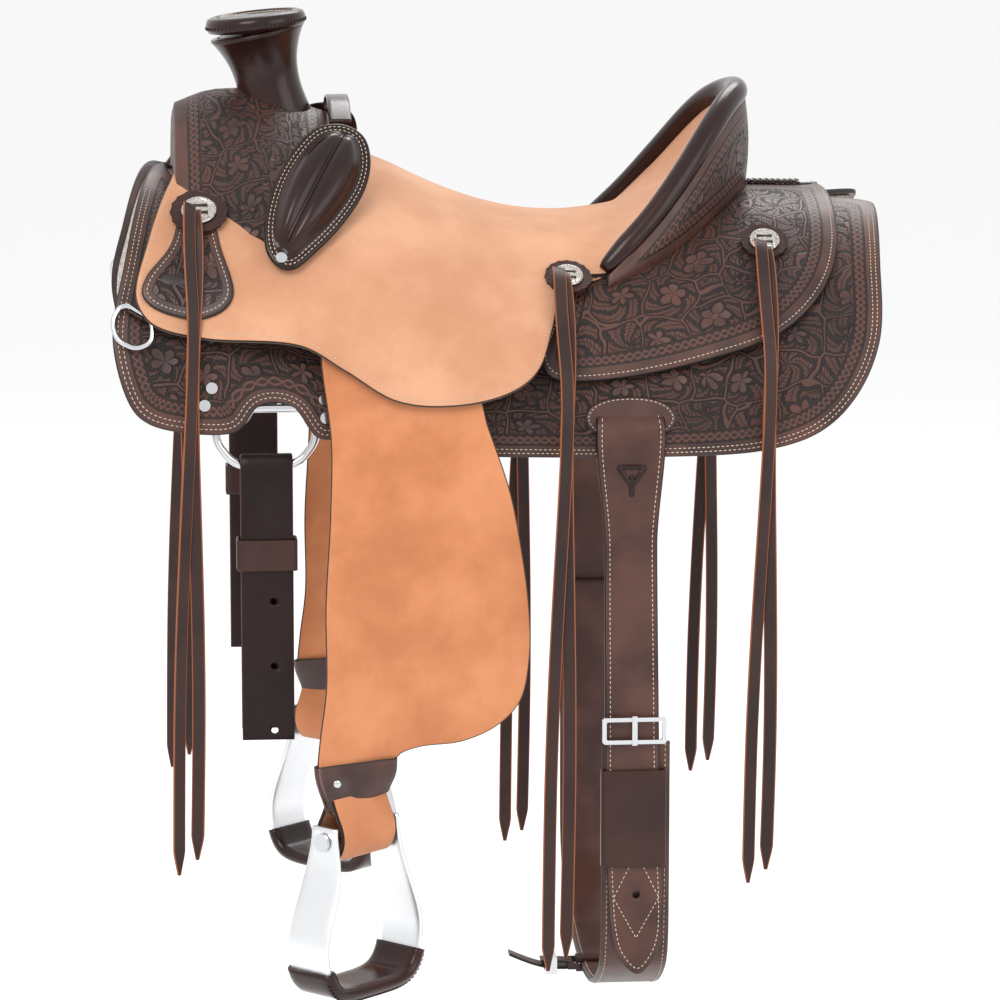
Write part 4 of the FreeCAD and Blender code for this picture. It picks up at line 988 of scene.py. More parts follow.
@dataclass
class SkirtSet:
    """Skirts with their wool lining, and the rear jockeys over them."""

    thickness: float = 0.005
    lining: float = 0.013
    jockey_thick: float = 0.004
    stitch: float = 0.0046

    def skirt(self) -> None:
        """Tooled skirts, edge-stitched, near and off."""
        outline = [BACK.flat(x, z) for x, z in SKIRT_LINE]
        top = [(0.362, 0.330), (0.300, 0.372), (0.196, 0.385), (0.150, 0.345), (-0.220, 0.345),
            (-0.318, 0.335)]
        sheet = Sheet("skirt_leather_near", outline + top, BACK.place, self.thickness,
            base=-self.thickness, grid=0.010)
        near = sheet.build(finish("tooled"))
        seams = stitches("skirt_stitching_near", sheet.seam(0.0050, self.stitch, lambda u, v: v < 0.30)
            + sheet.seam(0.0095, self.stitch, lambda u, v: v < 0.30), finish("thread"))
        patch_rows = [BACK.flat(x, z) for x, z in z_outline([(64, -77), (70, -66), (86, -59),
            (108, -57), (130, -59), (146, -66), (152, -77), (146, -88), (130, -94), (86, -94), (70, -88)])]
        patch = Sheet("billet_slot_patch_near", patch_rows, BACK.place, 0.0012, base=0.0001, grid=0.006)
        patched = patch.build(finish("plain_dark"))
        ring = stitches("billet_slot_stitching_near", patch.seam(0.0034, self.stitch), finish("thread"))
        for piece, kind, nodes in ((near, "dark_leather", ("skirt",)), (seams, "dark_leather", ()),
                (patched, "dark_leather", ()), (ring, "dark_leather", ())):
            dress_both(piece, kind, *nodes)

    def fleece(self) -> None:
        """Wool lining with a lumpy clipped pile."""
        outline = [BACK.flat(x * 0.985, z + (0.004 if z < 0 else -0.004)) for x, z in SKIRT_LINE]
        top = [(0.352, 0.330), (0.190, 0.372), (0.150, 0.340), (-0.220, 0.340), (-0.314, 0.330)]

        def pile(u: float, v: float, edge: float) -> float:
            return noise.noise(Vector((u, v, 0)) * 130) * 0.0022 + noise.noise(Vector((u, v, 3))
                * 330) * 0.0014

        def under(u: float, s: float, lift: float) -> Vector:
            return BACK.place(u, s, -self.thickness - 0.0005 - lift)

        sheet = Sheet("fleece_pile_near", outline + top, under, self.lining, grid=0.0042,
            rings=(0.0015, 0.004, 0.008), relief=((0.0, -0.006), (0.004, -0.0015), (0.008, 0.0)), bulge=pile)
        near = sheet.build(finish("fleece"))
        dress_both(near, "fleece", "fleece")

    def jockey(self) -> None:
        """Rear jockeys, tooled, joined behind the cantle by their lacing."""
        outline = [JOCKEY.flat(x, z) for x, z in JOCKEY_LINE]
        top = [(0.304, 0.384), (0.238, 0.388), (0.190, 0.330), (0.120, 0.300), (0.086, 0.285)]
        sheet = Sheet("rear_jockey_leather_near", outline + top, JOCKEY.place, self.jockey_thick, grid=0.008)
        near = sheet.build(finish("tooled"))
        seam = stitches("rear_jockey_stitching_near", sheet.seam(0.0055, self.stitch, lambda u, v: v < 0.37),
            finish("thread"))
        for piece, nodes in ((near, ("rear_jockey",)), (seam, ())):
            dress_both(piece, "dark_leather", *nodes)
        self.lacing()

    def lacing(self) -> None:
        """Crossed lace over the joint of the rear jockeys."""
        crosses = []
        for k in range(9):
            x = 0.246 + 0.006 * k
            for way in (-1, 1):
                ends = [JOCKEY.place(x - 0.003 * way, JOCKEY.turn * math.pi / 2 + 0.008 * side,
                    0.0062 + 0.0008 * way) for side in (-1, 1)]
                ends[1].x += 0.006 * way
                crosses.append(swept("lace", spline([ends[0], ends[0].lerp(ends[1], 0.5)
                    + Vector((0, 0, 0.0030)), ends[1]], 0.002), lambda share: circle(0.0022, 8, 0.6),
                    finish("gloss")))
        joined = merge("jockey_lace", crosses)
        dress(joined, "tree", "dark_leather", "jockey_lacing")

    def build(self) -> None:
        """Everything of the skirts."""
        self.skirt()
        self.fleece()
        self.jockey()


def merge(name: str, parts: Sequence[bpy.types.Object]) -> bpy.types.Object:
    """Several unparented pieces with one finish as one piece."""
    bm = bmesh.new()
    for part in parts:
        bm.from_mesh(part.data)
    material = parts[0].data.materials[0]
    for part in parts:
        mesh = part.data
        bpy.data.objects.remove(part)
        bpy.data.meshes.remove(mesh)
    return to_object(name, bm, material)


@dataclass
class Seat:
    """Suede seat and jockeys in one, with the cantle's dish, roll and back."""

    thickness: float = 0.005
    roll: float = 0.0118

    def leather(self) -> None:
        """Seat leather over both sides, under the fork and up the cantle."""
        near = [SEAT.flat(x, z) for x, z in SEAT_LINE]
        start = SEAT.turn * math.acos(DISH[0][1] / smooth(SEAT_HALF, DISH_START))
        near += [(0.086, start - 0.004), (0.130, start), (0.170, start), (0.200, start),
            (0.2240, start + 0.008)]
        whole = SEAT.turn * math.pi
        far = [(x, whole - s) for x, s in reversed(near)]
        front = [(-0.300, whole - 0.295), (-0.200, whole - 0.300), (-0.178, whole - 0.330),
            (-0.172, whole / 2), (-0.178, 0.330), (-0.200, 0.300), (-0.300, 0.295)]
        sheet = Sheet("seat_suede", near + far + front, seat_place, self.thickness, base=-self.thickness,
            grid=0.0085)
        piece = sheet.build(finish("seat"))
        dress(piece, "tree", "seat_suede", "seat_leather")
        rows = sheet.seam(0.0050, 0.0046, lambda u, v: u < 0.070 and not (-0.31 < u <
            0.0 and 0.28 < v < whole - 0.28))
        dress(stitches("seat_stitching", rows, finish("thread"), thread=0.0004), "tree", "seat_suede")

    def rim(self) -> list[Vector]:
        """Middle line of the cantle roll."""
        near = [Vector((x, -half, rim + 0.001)) for x, half, rim,
            _ in DISH[:-1]] + [Vector((0.233, -0.020, 0.217))]
        return near + [Vector((p.x, -p.y, p.z)) for p in reversed(near)]

    def cantle(self) -> None:
        """Glossy rolled binding round the cantle and the tooled leather behind it."""
        line = spline(self.rim(), 0.006)

        def section(share: float) -> list[Flat]:
            end = min(share, 1 - share) / 0.06
            size = self.roll * (0.45 + 0.55 * min(1.0, max(0.0, end)) ** 0.5)
            return circle(size, 24)

        dress(swept("cantle_roll_leather", line, section, finish("gloss")), "tree", "gloss_leather",
            "cantle_roll")
        middle = len(line) // 2
        bm = bmesh.new()
        border, pattern = bm.loops.layers.uv.new("edge"), bm.loops.layers.uv.new("flat")
        count = 16
        columns = []
        for k, top in enumerate(line):
            ahead, behind = line[min(k + 1, len(line) - 1)], line[max(k - 1, 0)]
            way = (ahead - behind)
            out = Vector((-way.y, way.x, 0)).normalized() * -1
            if out.dot(Vector((top.x - 0.05, top.y, 0))) < 0:
                out = -out
            head = top + out * 0.0095 + Vector((0, 0, -0.005))
            foot_x, foot_y = top.x + out.x * 0.010, top.y + out.y * 0.010
            rise = smooth(JOCKEY.crest, foot_x) + 0.125
            wide = smooth(JOCKEY.half, foot_x)
            foot = Vector((foot_x, foot_y, -0.125 + rise * math.sqrt(max(0.0, 1 - (foot_y / wide) ** 2))
                + 0.0035))
            if foot.z > head.z - 0.002:
                foot.z = head.z - 0.002
            columns.append([head.lerp(foot, j / (count - 1)) + out * 0.0035 *
                math.sin(math.pi * j / (count - 1)) for j in range(count)])
        rings = [[bm.verts.new(p) for p in column] for column in columns]
        run = 0.0
        for k in range(len(rings) - 1):
            step = (line[k + 1] - line[k]).length
            for j in range(count - 1):
                face = bm.faces.new((rings[k][j], rings[k + 1][j], rings[k + 1][j + 1], rings[k][j + 1]))
                tall = (columns[k][0] - columns[k][-1]).length
                for corner, (a, b) in zip(face.loops, ((0, j), (1, j), (1, j + 1), (0, j + 1))):
                    down = tall * b / (count - 1)
                    corner[pattern].uv = (run + step * a, down)
                    corner[border].uv = (run + step * a, min(down, tall - down) + 0.002)
            run += step
        bmesh.ops.recalc_face_normals(bm, faces=bm.faces)
        sample = rings[middle][count // 2]
        if sample.link_faces[0].normal.x < 0:
            bmesh.ops.reverse_faces(bm, faces=bm.faces)
        thicken_evenly(bm, 0.003)
        dress(to_object("cantle_back_leather", bm, finish("tooled")), "tree", "dark_leather", "cantle_back")

    def build(self) -> None:
        """Everything of the seat."""
        self.leather()
        self.cantle()


# ---------------------------------------------------------------- fork, horn and bucking rolls
FORK_TOP = table((-330, 200), (-318, 204), (-290, 216), (-235, 218), (-182, 196), (-170, 192))
FORK_WIDE = table((-330, 160), (-318, 162), (-290, 172), (-235, 190), (-182, 172), (-170, 170))


def fork_at(x: float, across: float, lift: float) -> Vector:
    """Point over the fork's swell at a share across it from -1 to 1."""
    half = smooth(FORK_WIDE, x, 0.012) + lift
    rise = (smooth(FORK_TOP, x, 0.012) - 0.060) * (1 - abs(across) ** 1.55)
    return Vector((x, half * across, 0.060 + rise + lift))


@dataclass
class Swell:
    """Leather-covered fork, the horn on it and the bucking rolls at its sides."""

    neck_radius: float = 0.0305
    cap_radius: float = 0.049
    cap_thick: float = 0.016
    foot: Vector = field(default_factory=lambda: Vector((-0.222, 0.0, 0.196)))
    top: Vector = field(default_factory=lambda: Vector((-0.240, 0.0, 0.282)))
    cap_axis: Vector = field(default_factory=lambda: Vector((-0.105, 0.0, 0.9945)).normalized())

    def cover(self) -> None:
        """Tooled cover over the swell, wrapped forward round the gullet."""
        bm = bmesh.new()
        border, pattern = bm.loops.layers.uv.new("edge"), bm.loops.layers.uv.new("flat")
        count = 72
        rows: list[list[Vector]] = []
        for x in (-0.170, -0.1715, -0.176, -0.184, -0.196, -0.210, -0.224, -0.238, -0.252,
                -0.266, -0.280, -0.294, -0.306, -0.315, -0.3205):
            limit = 0.86 + 0.10 * ease(-0.20, -0.30, x) if x > -0.30 else 0.97
            rows.append([fork_at(x, limit * (2 * k / count - 1), 0.0045 - (0.003 if x > -0.171 else 0.0))
                for k in range(count + 1)])
        edge = rows[-1]
        hole = [Vector((-0.3225, -0.076 * math.cos(math.pi * k / count), 0.078 + 0.076
            * math.sin(math.pi * k / count))) for k in range(count + 1)]
        for share in (0.06, 0.16, 0.30, 0.45, 0.60, 0.75, 0.88, 0.97, 1.0):
            rows.append([a.lerp(b, share) + Vector((-0.003 * math.sin(math.pi * min(share * 1.6, 1.0)), 0, 0))
                for a, b in zip(edge, hole)])
        rows.append([p + Vector((0.006, 0, 0.001)) for p in hole])
        rings = [[bm.verts.new(p) for p in row] for row in rows]
        down = 0.0
        ridge = sum((b[count // 2] - a[count // 2]).length for a, b in zip(rows[:15], rows[1:15]))
        for k in range(len(rings) - 1):
            gap = (rows[k + 1][count // 2] - rows[k][count // 2]).length
            run = 0.0
            for j in range(count):
                step = (rows[k][j + 1] - rows[k][j]).length
                face = bm.faces.new((rings[k][j], rings[k][j + 1], rings[k + 1][j + 1], rings[k + 1][j]))
                for corner, (a, b) in zip(face.loops, ((0, 0), (1, 0), (1, 1), (0, 1))):
                    corner[pattern].uv = (run + a * step, down + gap * b)
                    corner[border].uv = (run + a * step, min(down + gap * b, abs(ridge - down - gap * b))
                        + 0.002)
                run += step
            down += gap
        bmesh.ops.recalc_face_normals(bm, faces=bm.faces)
        if rings[6][count // 2].link_faces[0].normal.z < 0:
            bmesh.ops.reverse_faces(bm, faces=bm.faces)
        thicken_evenly(bm, 0.0035)
        dress(to_object("fork_cover_leather", bm, finish("tooled")), "tree", "dark_leather", "fork_cover")

    def turned(self, name: str, profile: Sequence[Flat], base: Vector, axis: Vector,
            material: bpy.types.Material) -> bpy.types.Object:
        """Profile of (radius, height) points spun about an axis."""
        bm = bmesh.new()
        verts = [bm.verts.new((r, 0, h)) for r, h in profile]
        edges = [bm.edges.new(pair) for pair in zip(verts, verts[1:])]
        bmesh.ops.spin(bm, geom=verts + edges, cent=(0, 0, 0), axis=(0, 0, 1), angle=2 * math.pi,
            steps=56, use_merge=True, use_duplicate=False)
        bmesh.ops.remove_doubles(bm, verts=bm.verts, dist=1e-6)
        bmesh.ops.recalc_face_normals(bm, faces=bm.faces)
        turn = Vector((0, 0, 1)).rotation_difference(axis.normalized()).to_matrix().to_4x4()
        bmesh.ops.transform(bm, matrix=Matrix.Translation(base) @ turn, verts=bm.verts)
        return to_object(name, bm, material)

    def horn(self) -> None:
        """Wrapped neck and the broad cap with its binding and stitched top."""
        axis = (self.top - self.foot).normalized()
        r = self.neck_radius
        heights = ((r + 0.010, -0.016), (r + 0.0065, -0.006), (r + 0.0030, 0.009), (r + 0.0004, 0.026),
            (r + 0.0012, 0.046), (r + 0.0065, 0.064), (r + 0.0150, 0.080), (r + 0.019, 0.0846),
            (0.004, 0.0846))
        profile = [tuple(p) for p in spline([(a, 0.0, h) for a, h in heights], 0.0035)]
        profile = [(x, z) for x, _, z in profile]
        dress(self.turned("horn_neck_wrap", profile, self.foot, axis, finish("gloss")),
            "tree", "gloss_leather", "horn_wrap")
        base = self.foot + axis * 0.0843
        c, t = self.cap_radius, self.cap_thick
        ring = [(0.002, 0.0), (c - 0.007, 0.0), (c - 0.002, 0.0012), (c, 0.0050), (c, t - 0.0055),
            (c - 0.0018, t - 0.0016), (c - 0.006, t), (c - 0.0105, t - 0.0002), (c - 0.0115, t - 0.0022),
            (0.0005, t - 0.0012)]
        dress(self.turned("horn_cap_leather", ring, base, self.cap_axis, finish("gloss")),
            "tree", "gloss_leather", "horn_cap")
        turn = Vector((0, 0, 1)).rotation_difference(self.cap_axis).to_matrix()
        rows = []
        for radius, high in ((c - 0.0150, t - 0.0018), (c - 0.0195, t - 0.0017)):
            count = int(2 * math.pi * radius / 0.0046)
            spots = [base + turn @ Vector((radius * math.cos(2 * math.pi * k / count),
                radius * math.sin(2 * math.pi * k / count), high)) for k in range(count)]
            rows += [(a, b, self.cap_axis) for a, b in zip(spots, spots[1:] + spots[:1])]
        rim = []
        count = 64
        for k in range(count):
            angle = 2 * math.pi * k / count
            way = Vector((math.cos(angle), math.sin(angle), 0))
            side = Vector((-math.sin(angle), math.cos(angle), 0)) * 0.0012
            rim.append((base + turn @ (way * (c + 0.0002) - side + Vector((0, 0, 0.004))),
                base + turn @ (way * (c + 0.0002) + side + Vector((0, 0, 0.0085))), turn @ way))
        dress(stitches("horn_cap_stitching", rows, finish("thread"), 0.0005), "tree", "gloss_leather")
        dress(stitches("horn_cap_binding_stitches", rim, finish("dark_thread"), 0.0006, 0.9),
            "tree", "gloss_leather")

    def roll_frame(self) -> Matrix:
        """Frame of the near bucking roll: x up along it, y across, z outward."""
        low, high = Vector((-0.226, -0.200, 0.072)), Vector((-0.150, -0.104, 0.196))
        along = (high - low).normalized()
        out = Vector((0.10, -0.78, 0.62))
        out = (out - along * out.dot(along)).normalized()
        across = out.cross(along)
        return Matrix.Translation((low + high) / 2) @ Matrix((along, across, out)).transposed().to_4x4()

    def rolls(self) -> None:
        """Padded teardrop rolls with a welt, a stitched border and a screw."""
        at = self.roll_frame()
        rim = [(-0.091, -0.004), (-0.084, 0.013), (-0.058, 0.029), (-0.010, 0.040), (0.036, 0.038),
            (0.067, 0.027), (0.080, 0.006), (0.077, -0.015), (0.058, -0.031), (0.026, -0.040),
            (-0.018, -0.037), (-0.060, -0.026), (-0.086, -0.015)]

        def crown(u: float, v: float, edge: float) -> float:
            body = 1 - (u / 0.074) ** 2 - (v / 0.033) ** 2
            lobe = max(0.0, body) ** 0.5 * 0.0225 * ease(0.006, 0.020, edge)
            welt = 0.0038 * math.exp(-((v - 0.002) / 0.0042) ** 2)
            return lobe - welt * ease(0.0, 0.006, lobe) * 1.5

        def lie(u: float, v: float, lift: float) -> Vector:
            return at @ Vector((u, v, lift))

        sheet = Sheet("bucking_roll_near_leather", rim, lie, 0.0045, grid=0.0032, step=0.003,
            bulge=crown, relief=((0.0, -0.0018), (0.0008, -0.0006), (0.002, 0.0)))
        near = sheet.build(finish("gloss_edge"))
        off = dress_both(near, "gloss_leather", "bucking_roll")
        welt_line = [lie(-0.066 + 0.128 * k / 30, 0.002, 0.0049 + crown(-0.066 + 0.128 * k / 30, 0.002, 0.03)
            + 0.0010) for k in range(31)]
        welt = swept("bucking_roll_welt_near", welt_line, lambda share: circle(0.0017, 10), finish("gloss"))
        seam = stitches("bucking_roll_stitching_near", sheet.seam(0.0042, 0.0046) +
            sheet.seam(0.0078, 0.0046), finish("thread"))
        for piece in (welt, seam):
            dress_both(piece, "gloss_leather")

    def strap(self) -> None:
        """Strap over the fork between the rolls."""
        line = spline([(-0.161, y * MM, z * MM) for y, z in ((-72, 194), (-46, 206), (-16, 212.5),
            (16, 212.5), (46, 206), (72, 194))], 0.004)
        dress(swept("roll_strap_leather", line, lambda share: strap_section(0.022, 0.0032), finish("gloss")),
            "tree", "gloss_leather", "roll_strap")

    def build(self) -> None:
        """Everything of the fork."""
        self.cover()
        self.horn()
        self.rolls()
        self.strap()
        carry("roll_screws", "steel")


# ---------------------------------------------------------------- fenders and stirrups
NECK = Vector((-0.158, -0.2481, 0.0))
BOLT_Z = -0.472
TURN = math.radians(45)


def turned_out(point: Vector) -> Vector:
    """Point of the stirrup's own frame where the neck holds it."""
    return Matrix.Rotation(TURN, 3, "Z") @ point + NECK


@dataclass
class Fender:
    """Suede fender with its stirrup leather, neck, hobble strap, loop and stirrup."""

    thickness: float = 0.0046
    neck_width: float = 0.074
    band: float = 0.050
    metal: float = 0.005

    def lie(self, u: float, v: float, lift: float) -> Vector:
        """Fender point: flat down the side, curved in under the jockey and twisted at the neck."""
        route = ((-0.4, -0.2460), (-0.063, -0.2435), (-0.028, -0.236), (0.012, -0.216),
            (0.060, -0.181), (0.100, -0.138))
        y = next((a[1] + (b[1] - a[1]) * (v - a[0]) / (b[0] - a[0]) for a, b in zip(route, route[1:])
            if v <= b[0]), route[-1][1]) if v > -0.4 else -0.2460
        bow = 0.0025 * math.sin(math.pi * min(1.0, max(0.0, (-0.07 - v) / 0.30)))
        if v > -0.396:
            return Vector((u, y - lift - bow, v))
        twist = TURN * ease(-0.396, -0.446, v)
        spot = Matrix.Rotation(twist, 3, "Z") @ Vector((u - NECK.x, -lift + 0.0021, 0))
        return Vector((spot.x + NECK.x, spot.y + NECK.y, v))

    def leather(self) -> bpy.types.Object:
        """Fender cut in one with its neck, blended from the stirrup leather above."""
        rows = z_outline([(-188, 98), (-188, 20), (-188, -20), (-180, -90), (-181, -160),
            (-186, -250), (-186, -330), (-192, -378), (-195, -410), (-195, -446), (-121, -446),
            (-121, -410), (-117, -396), (-98, -388), (-56, -383), (-22, -368), (0, -344),
            (9, -300), (8, -250), (0, -190), (-10, -140), (-30, -80), (-44, -40), (-90, -24),
            (-128, -14), (-128, 20), (-128, 98)])
        sheet = Sheet("fender_suede_near", rows, self.lie, self.thickness, base=0.0, grid=0.0095,
            rings=(0.0007, 0.0018, 0.004, 0.009, 0.014), relief=((0.0, -0.0014), (0.0007, -0.0005),
            (0.0018, 0.0)))
        near = sheet.build(finish("fender"))
        off = other_side(near, "fender_suede_off")
        for piece, side in ((near, Side.NEAR), (off, Side.OFF)):
            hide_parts("fender_" + side.tag, "stirrup_leather_" + side.tag)
            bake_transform(piece)
            log.info("%s: %d faces", piece.name, len(piece.data.polygons))
        return near

    def loop(self) -> None:
        """End of the leather taken round the stirrup's bolt and up to the hobble strap."""
        r = 0.0185
        route = [(-0.0045, -0.432), (-0.010, -0.446), (-r, -0.462), (-r, -0.478), (-r * 0.55, -0.491),
            (0, -0.4945), (r * 0.55, -0.491), (r, -0.478), (r, -0.462), (0.010, -0.446), (0.0045, -0.432)]
        line = [turned_out(Vector((0, y, z))) for y, z in ((p[1], p[2]) for p in
            spline([(0, *q) for q in route], 0.003))]
        across = (turned_out(Vector((1, 0, 0))) - turned_out(Vector((0, 0, 0)))).normalized()
        bm = bmesh.new()
        pattern, border = bm.loops.layers.uv.new("flat"), bm.loops.layers.uv.new("edge")
        half, rows = self.neck_width / 2, []
        shares = (-1.0, -0.975, -0.94, -0.6, -0.2, 0.2, 0.6, 0.94, 0.975, 1.0)
        for point in line:
            rows.append([bm.verts.new(point + across * half * s) for s in shares])
        for k, (low, high) in enumerate(zip(rows, rows[1:])):
            for j in range(len(shares) - 1):
                face = bm.faces.new((low[j], low[j + 1], high[j + 1], high[j]))
                for corner, (a, b) in zip(face.loops, ((j, k), (j + 1, k), (j + 1, k + 1), (j, k + 1))):
                    corner[pattern].uv = (shares[a] * half, b * 0.003)
                    corner[border].uv = (b * 0.003, half * (1 - abs(shares[a])) + 0.0002)
        bmesh.ops.recalc_face_normals(bm, faces=bm.faces)
        bm.normal_update()
        middle = turned_out(Vector((0, 0, -0.47)))
        if sum(f.normal.dot(f.calc_center_median() - middle) for f in bm.faces) < 0:
            bmesh.ops.reverse_faces(bm, faces=bm.faces)
        thicken_evenly(bm, 0.0038)
        loop = to_object("stirrup_loop_near", bm, finish("fender"))
        bevel = loop.modifiers.new("edges", "BEVEL")
        bevel.width, bevel.segments, bevel.limit_method = 0.0008, 2, "ANGLE"
        dress_both(loop, "fender_suede", body="fender")

    def hobble(self) -> None:
        """Dark strap buckled round the neck, with its rivet."""
        half, thin = self.neck_width / 2 + 0.0030, 0.0062
        ring = [(half - 0.003, -thin), (half, -thin * 0.5), (half, thin * 0.5), (half - 0.003, thin),
            (-half + 0.003, thin), (-half, thin * 0.5), (-half, -thin * 0.5), (-half + 0.003, -thin)]
        dense = even_steps([Vector(p) for p in ring], 0.004, closed=True)
        bm = bmesh.new()
        pattern, border = bm.loops.layers.uv.new("flat"), bm.loops.layers.uv.new("edge")
        heights = (-0.4400, -0.4393, -0.4380, -0.432, -0.424, -0.416, -0.409, -0.4030, -0.4017, -0.4010)
        rows = []
        for k, z in enumerate(heights):
            grow = (-0.0007 if k in (0, len(heights) - 1) else 0.0)
            row = []
            for x, y in dense:
                slope = 0.10 * x
                twist = TURN * ease(-0.396, -0.446, z + slope)
                out = Vector((x, y, 0)) * (1 + grow / 0.02)
                spot = Matrix.Rotation(twist, 3, "Z") @ out
                row.append(bm.verts.new((spot.x + NECK.x, spot.y + NECK.y, z + slope)))
            rows.append(row)
        count = len(dense)
        for k, (low, high) in enumerate(zip(rows, rows[1:])):
            for j in range(count):
                face = bm.faces.new((low[j], low[(j + 1) % count], high[(j + 1) % count], high[j]))
                for corner, (a, b) in zip(face.loops, ((0, k), (1, k), (1, k + 1), (0, k + 1))):
                    gap = min(heights[b] - heights[0], heights[-1] - heights[b])
                    corner[pattern].uv = (0.004 * (j + a), heights[b])
                    corner[border].uv = (0.004 * (j + a), gap)
        bmesh.ops.recalc_face_normals(bm, faces=bm.faces)
        bm.normal_update()
        if sum(f.normal.xy.dot(f.calc_center_median().xy - NECK.xy) for f in bm.faces) < 0:
            bmesh.ops.reverse_faces(bm, faces=bm.faces)
        thicken_evenly(bm, 0.0028)
        dress_both(to_object("hobble_strap_near_leather", bm, finish("plain_dark")), "dark_leather",
            "hobble_strap", body="fender")
        rivet = bmesh.new()
        spot = Matrix.Rotation(math.radians(20), 3, "Z") @ Vector((-0.022, -thin - 0.0010, 0)) + NECK
        bmesh.ops.create_uvsphere(rivet, u_segments=18, v_segments=9, radius=0.0042)
        bmesh.ops.scale(rivet, vec=(1, 0.38, 1), verts=rivet.verts)
        bmesh.ops.rotate(rivet, cent=(0, 0, 0), matrix=Matrix.Rotation(math.radians(20), 3, "Z"),
            verts=rivet.verts)
        bmesh.ops.translate(rivet, vec=(spot.x, spot.y, -0.420), verts=rivet.verts)
        dress_both(to_object("hobble_rivet_near", rivet, finish("steel")), "polished_steel", body="fender")

    def bell(self, grow: float) -> list[tuple[float, float]]:
        """Bell outline of the stirrup, open at the top, from the left foot over the tread to the right."""
        top, low = 0.046 + grow, 0.070 + grow
        z0, base = BOLT_Z + 0.014, BOLT_Z + 0.014 - 0.165 - grow
        return [(-top, z0), (-top, z0 - 0.020), (-top - 0.004, z0 - 0.055), (-low, z0 - 0.100),
            (-low, z0 - 0.128), (-low + 0.010, base + 0.010), (-low * 0.60, base + 0.0005),
            (0.0, base), (low * 0.60, base + 0.0005), (low - 0.010, base + 0.010), (low, z0 - 0.128),
            (low, z0 - 0.100), (top + 0.004, z0 - 0.055), (top, z0 - 0.020), (top, z0)]

    def stirrup(self) -> None:
        """Brushed metal band, and the leather wrapped round its tread."""
        line = spline([(x, 0, z) for x, z in self.bell(-self.metal / 2)], 0.004)
        half, thin = self.band / 2, self.metal / 2

        def metal(share: float) -> list[Flat]:
            wide = half * (0.62 + 0.38 * ease(0.0, 0.16, min(share, 1 - share)))
            return [(x * wide / half, y) for x, y in strap_section(2 * half, 2 * thin)]

        world = [turned_out(p) for p in line]
        band = swept("stirrup_band_near", world, metal, finish("aluminium"), up=Matrix.Rotation(TURN, 3, "Z")
            @ Vector((1, 0, 0)))
        dress_both(band, "brushed_aluminium", "stirrup", body="stirrup")
        part = [p for p in line if p.z < BOLT_Z + 0.014 - 0.165 + 0.030]

        sleeve = swept("tread_wrap_near", [turned_out(p) for p in part], lambda share:
            strap_section(self.band + 0.008, self.metal + 0.0075), finish("gloss"),
            up=Matrix.Rotation(TURN, 3, "Z") @ Vector((1, 0, 0)))
        dress_both(sleeve, "gloss_leather", "tread_cover", body="stirrup")
        lace = []
        for k in range(2, len(part) - 2, 1):
            here, there = part[k], part[k + 1]
            away = (there - here).cross(Vector((0, 1, 0))).normalized() * 0.0066
            if away.z > 0:
                away = -away
            lace.append((turned_out(here + away + Vector((0, -0.0225, 0))),
                turned_out(there + away + Vector((0, -0.0262, 0))), turned_out(away * 1000)
                - turned_out(Vector((0, 0, 0)))))
        lace = [(a, b, out.normalized()) for a, b, out in lace]
        dress_both(stitches("tread_lacing_near", lace, finish("dark_thread"), 0.0011, 0.95),
            "gloss_leather", body="stirrup")
        for side in Side:
            carry("stirrup_bolt_" + side.tag, "steel")

    def build(self) -> None:
        """Everything of both fenders."""
        self.leather()
        self.loop()
        self.hobble()
        self.stirrup()


# ---------------------------------------------------------------- rigging, straps and strings
def plane_place(face_y: Callable[[float], float], side: Side = Side.NEAR) -> Place:
    """Form for a strap hanging in a side plane whose y depends on the height."""
    return lambda u, v, lift: Vector((u, side.value * (face_y(v) + lift), v))


def loop_band(name: str, centre: Vector, half_x: float, half_y: float, tall: float, thick: float,
        kind: str) -> bpy.types.Object:
    """Keeper: a closed strap loop round a vertical strap."""
    ring = even_steps([Vector(p) for p in ((half_x, 0), (half_x, half_y), (0, half_y),
        (-half_x, half_y), (-half_x, 0), (-half_x, -half_y), (0, -half_y), (half_x, -half_y))],
        0.003, closed=True)
    bm = bmesh.new()
    pattern = bm.loops.layers.uv.new("flat")
    section = strap_section(tall, thick)
    rings = []
    for k, (x, y) in enumerate(ring):
        ahead, behind = Vector(ring[(k + 1) % len(ring)]), Vector(ring[k - 1])
        way = (ahead - behind).normalized()
        out = Vector((way.y, -way.x, 0))
        rings.append([bm.verts.new(centre + Vector((x, y, 0)) + out * b + Vector((0, 0, a))) for a,
            b in section])
    count = len(section)
    for k in range(len(rings)):
        low, high = rings[k], rings[(k + 1) % len(rings)]
        for j in range(count):
            face = bm.faces.new((low[j], low[(j + 1) % count], high[(j + 1) % count], high[j]))
            for corner, (a, b) in zip(face.loops, ((j, k), (j + 1, k), (j + 1, k + 1), (j, k + 1))):
                corner[pattern].uv = (a * 0.003, b * 0.003)
    bmesh.ops.recalc_face_normals(bm, faces=bm.faces)
    return to_object(name, bm, finish(kind))


